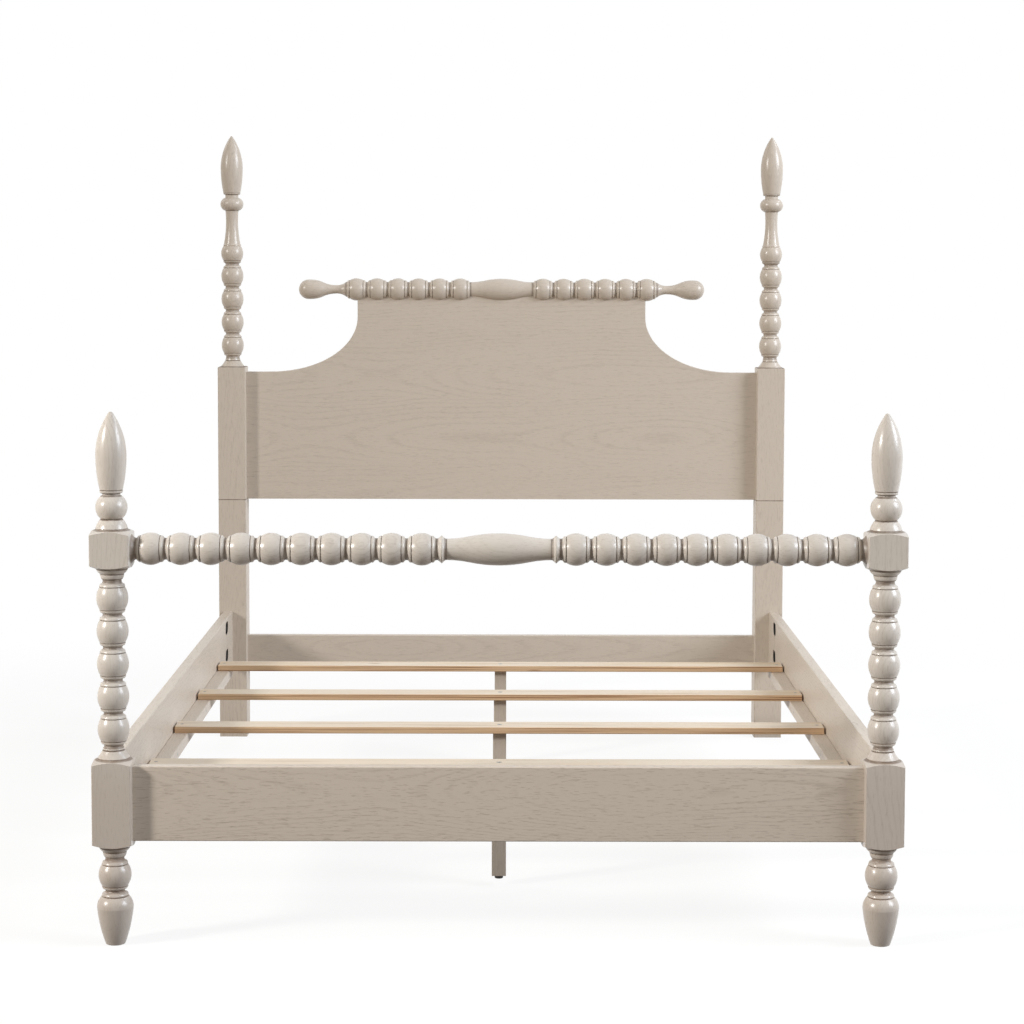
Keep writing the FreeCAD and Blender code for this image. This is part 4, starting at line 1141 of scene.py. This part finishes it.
# %% Screw helpers
SCREW_AROUND = 48
SCREW_ANGLE = np.arange(SCREW_AROUND) * 2 * np.pi / SCREW_AROUND
SLOT_SIDE = (0.2, 0.11)
SLOT_END = (0.56, 0.4)
SLOT_DEPTH = 0.4
POINT_RADIUS = 0.1
POINT_LENGTH = 4
RIM_HEIGHT = 0.0002
RIM_INSIDE = 0.97
OVER_HEAD = np.linspace(0.75, 0.05, 15)


def soft_step(value, start, end):
    """A smooth step from 0 at start to 1 at end; it falls where end is below start."""
    share = np.clip((value - start) / (end - start), 0, 1)
    return share * share * (3 - 2 * share)


def slot_mask(along, over):
    """1 in a slot and 0 outside it, for places given as shares of the head's radius."""
    return soft_step(np.abs(over), *SLOT_SIDE) * soft_step(np.abs(along), *SLOT_END)


def screw_rings(length, shank, head, head_height):
    """A countersunk screw that points down, with the middle of its flat head at the origin. The
    recess is as deep as the deeper of two crossed slots."""
    outside = np.array([[POINT_RADIUS * shank, -length], [shank, POINT_LENGTH * shank - length],
                        [shank, -head_height], [head, -RIM_HEIGHT], [RIM_INSIDE * head, 0.0]])
    radius = np.concatenate([outside[:, 0], OVER_HEAD * head])[:, None]
    x = radius * np.cos(SCREW_ANGLE)
    y = radius * np.sin(SCREW_ANGLE)
    height = np.concatenate([outside[:, 1], np.zeros(OVER_HEAD.size)])[:, None] * np.ones(SCREW_AROUND)
    recess = SLOT_DEPTH * head * np.maximum(slot_mask(x / head, y / head), slot_mask(y / head, x / head))
    height[outside.shape[0]:] -= recess[outside.shape[0]:]
    return np.stack([x, y, height], axis=-1)


print("rings over a screw head:", OVER_HEAD.size)

# %% [markdown]
# ## Slat screws and leg screws
# Each slat has a screw near each end, down into the middle of the ledger, and a longer one in the
# middle, down into its centre leg. All point down with their heads level with the slat's top, so
# one shape is made for each kind and moved to its places.

# %% Screws in the slats
SLAT_SCREW = {"length": 0.038, "shank": 0.0022, "head": 0.0045, "head_height": 0.0026}
LEG_SCREW = {"length": 0.066, "shank": 0.003, "head": 0.0065, "head_height": 0.004}
slat_y = [middle_of(f"slat_{number}").y for number in NUMBERS]
slat_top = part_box("slat_1")[1].z
ledger_x = middle_of("slat_ledger_right").x

slat_places = np.array([[side * ledger_x, y, slat_top] for y in slat_y for side in (-1, 1)])
slat_rings = screw_rings(**SLAT_SCREW) + slat_places[:, None, None]
skin("slat_screw_heads", slat_rings, "frame", "slat_screws")

leg_places = np.array([[0.0, y, slat_top] for y in slat_y])
leg_rings = screw_rings(**LEG_SCREW) + leg_places[:, None, None]
skin("leg_screw_heads", leg_rings, "frame", "support_leg_screws")

# %% [markdown]
# ## Ledger screws
# Six screws go sideways through each ledger into its side rail. The screw that points down is laid
# over by giving its three parts to other axes, once for each side, which turns it and mirrors
# nothing, so its faces still point outwards.

# %% Screws in the ledgers
LEDGER_SCREW = {**SLAT_SCREW, "length": 0.050}
LEDGER_SCREWS = 6
LEDGER_SCREW_FROM_END = 0.060
ledger_low, ledger_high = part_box("slat_ledger_right")
ledger_z = middle_of("slat_ledger_right").z
ledger_y = np.linspace(-1, 1, LEDGER_SCREWS) * (ledger_high.y - LEDGER_SCREW_FROM_END)

facing_right = screw_rings(**LEDGER_SCREW)[..., [2, 0, 1]]
facing_left = facing_right * np.array([-1, -1, 1])
left_places = np.array([[-ledger_low.x, y, ledger_z] for y in ledger_y])
right_places = left_places * np.array([-1, 1, 1])
left_screws = facing_right + left_places[:, None, None]
right_screws = facing_left + right_places[:, None, None]
skin("ledger_screw_heads", np.concatenate([left_screws, right_screws]), "frame", "ledger_screws")
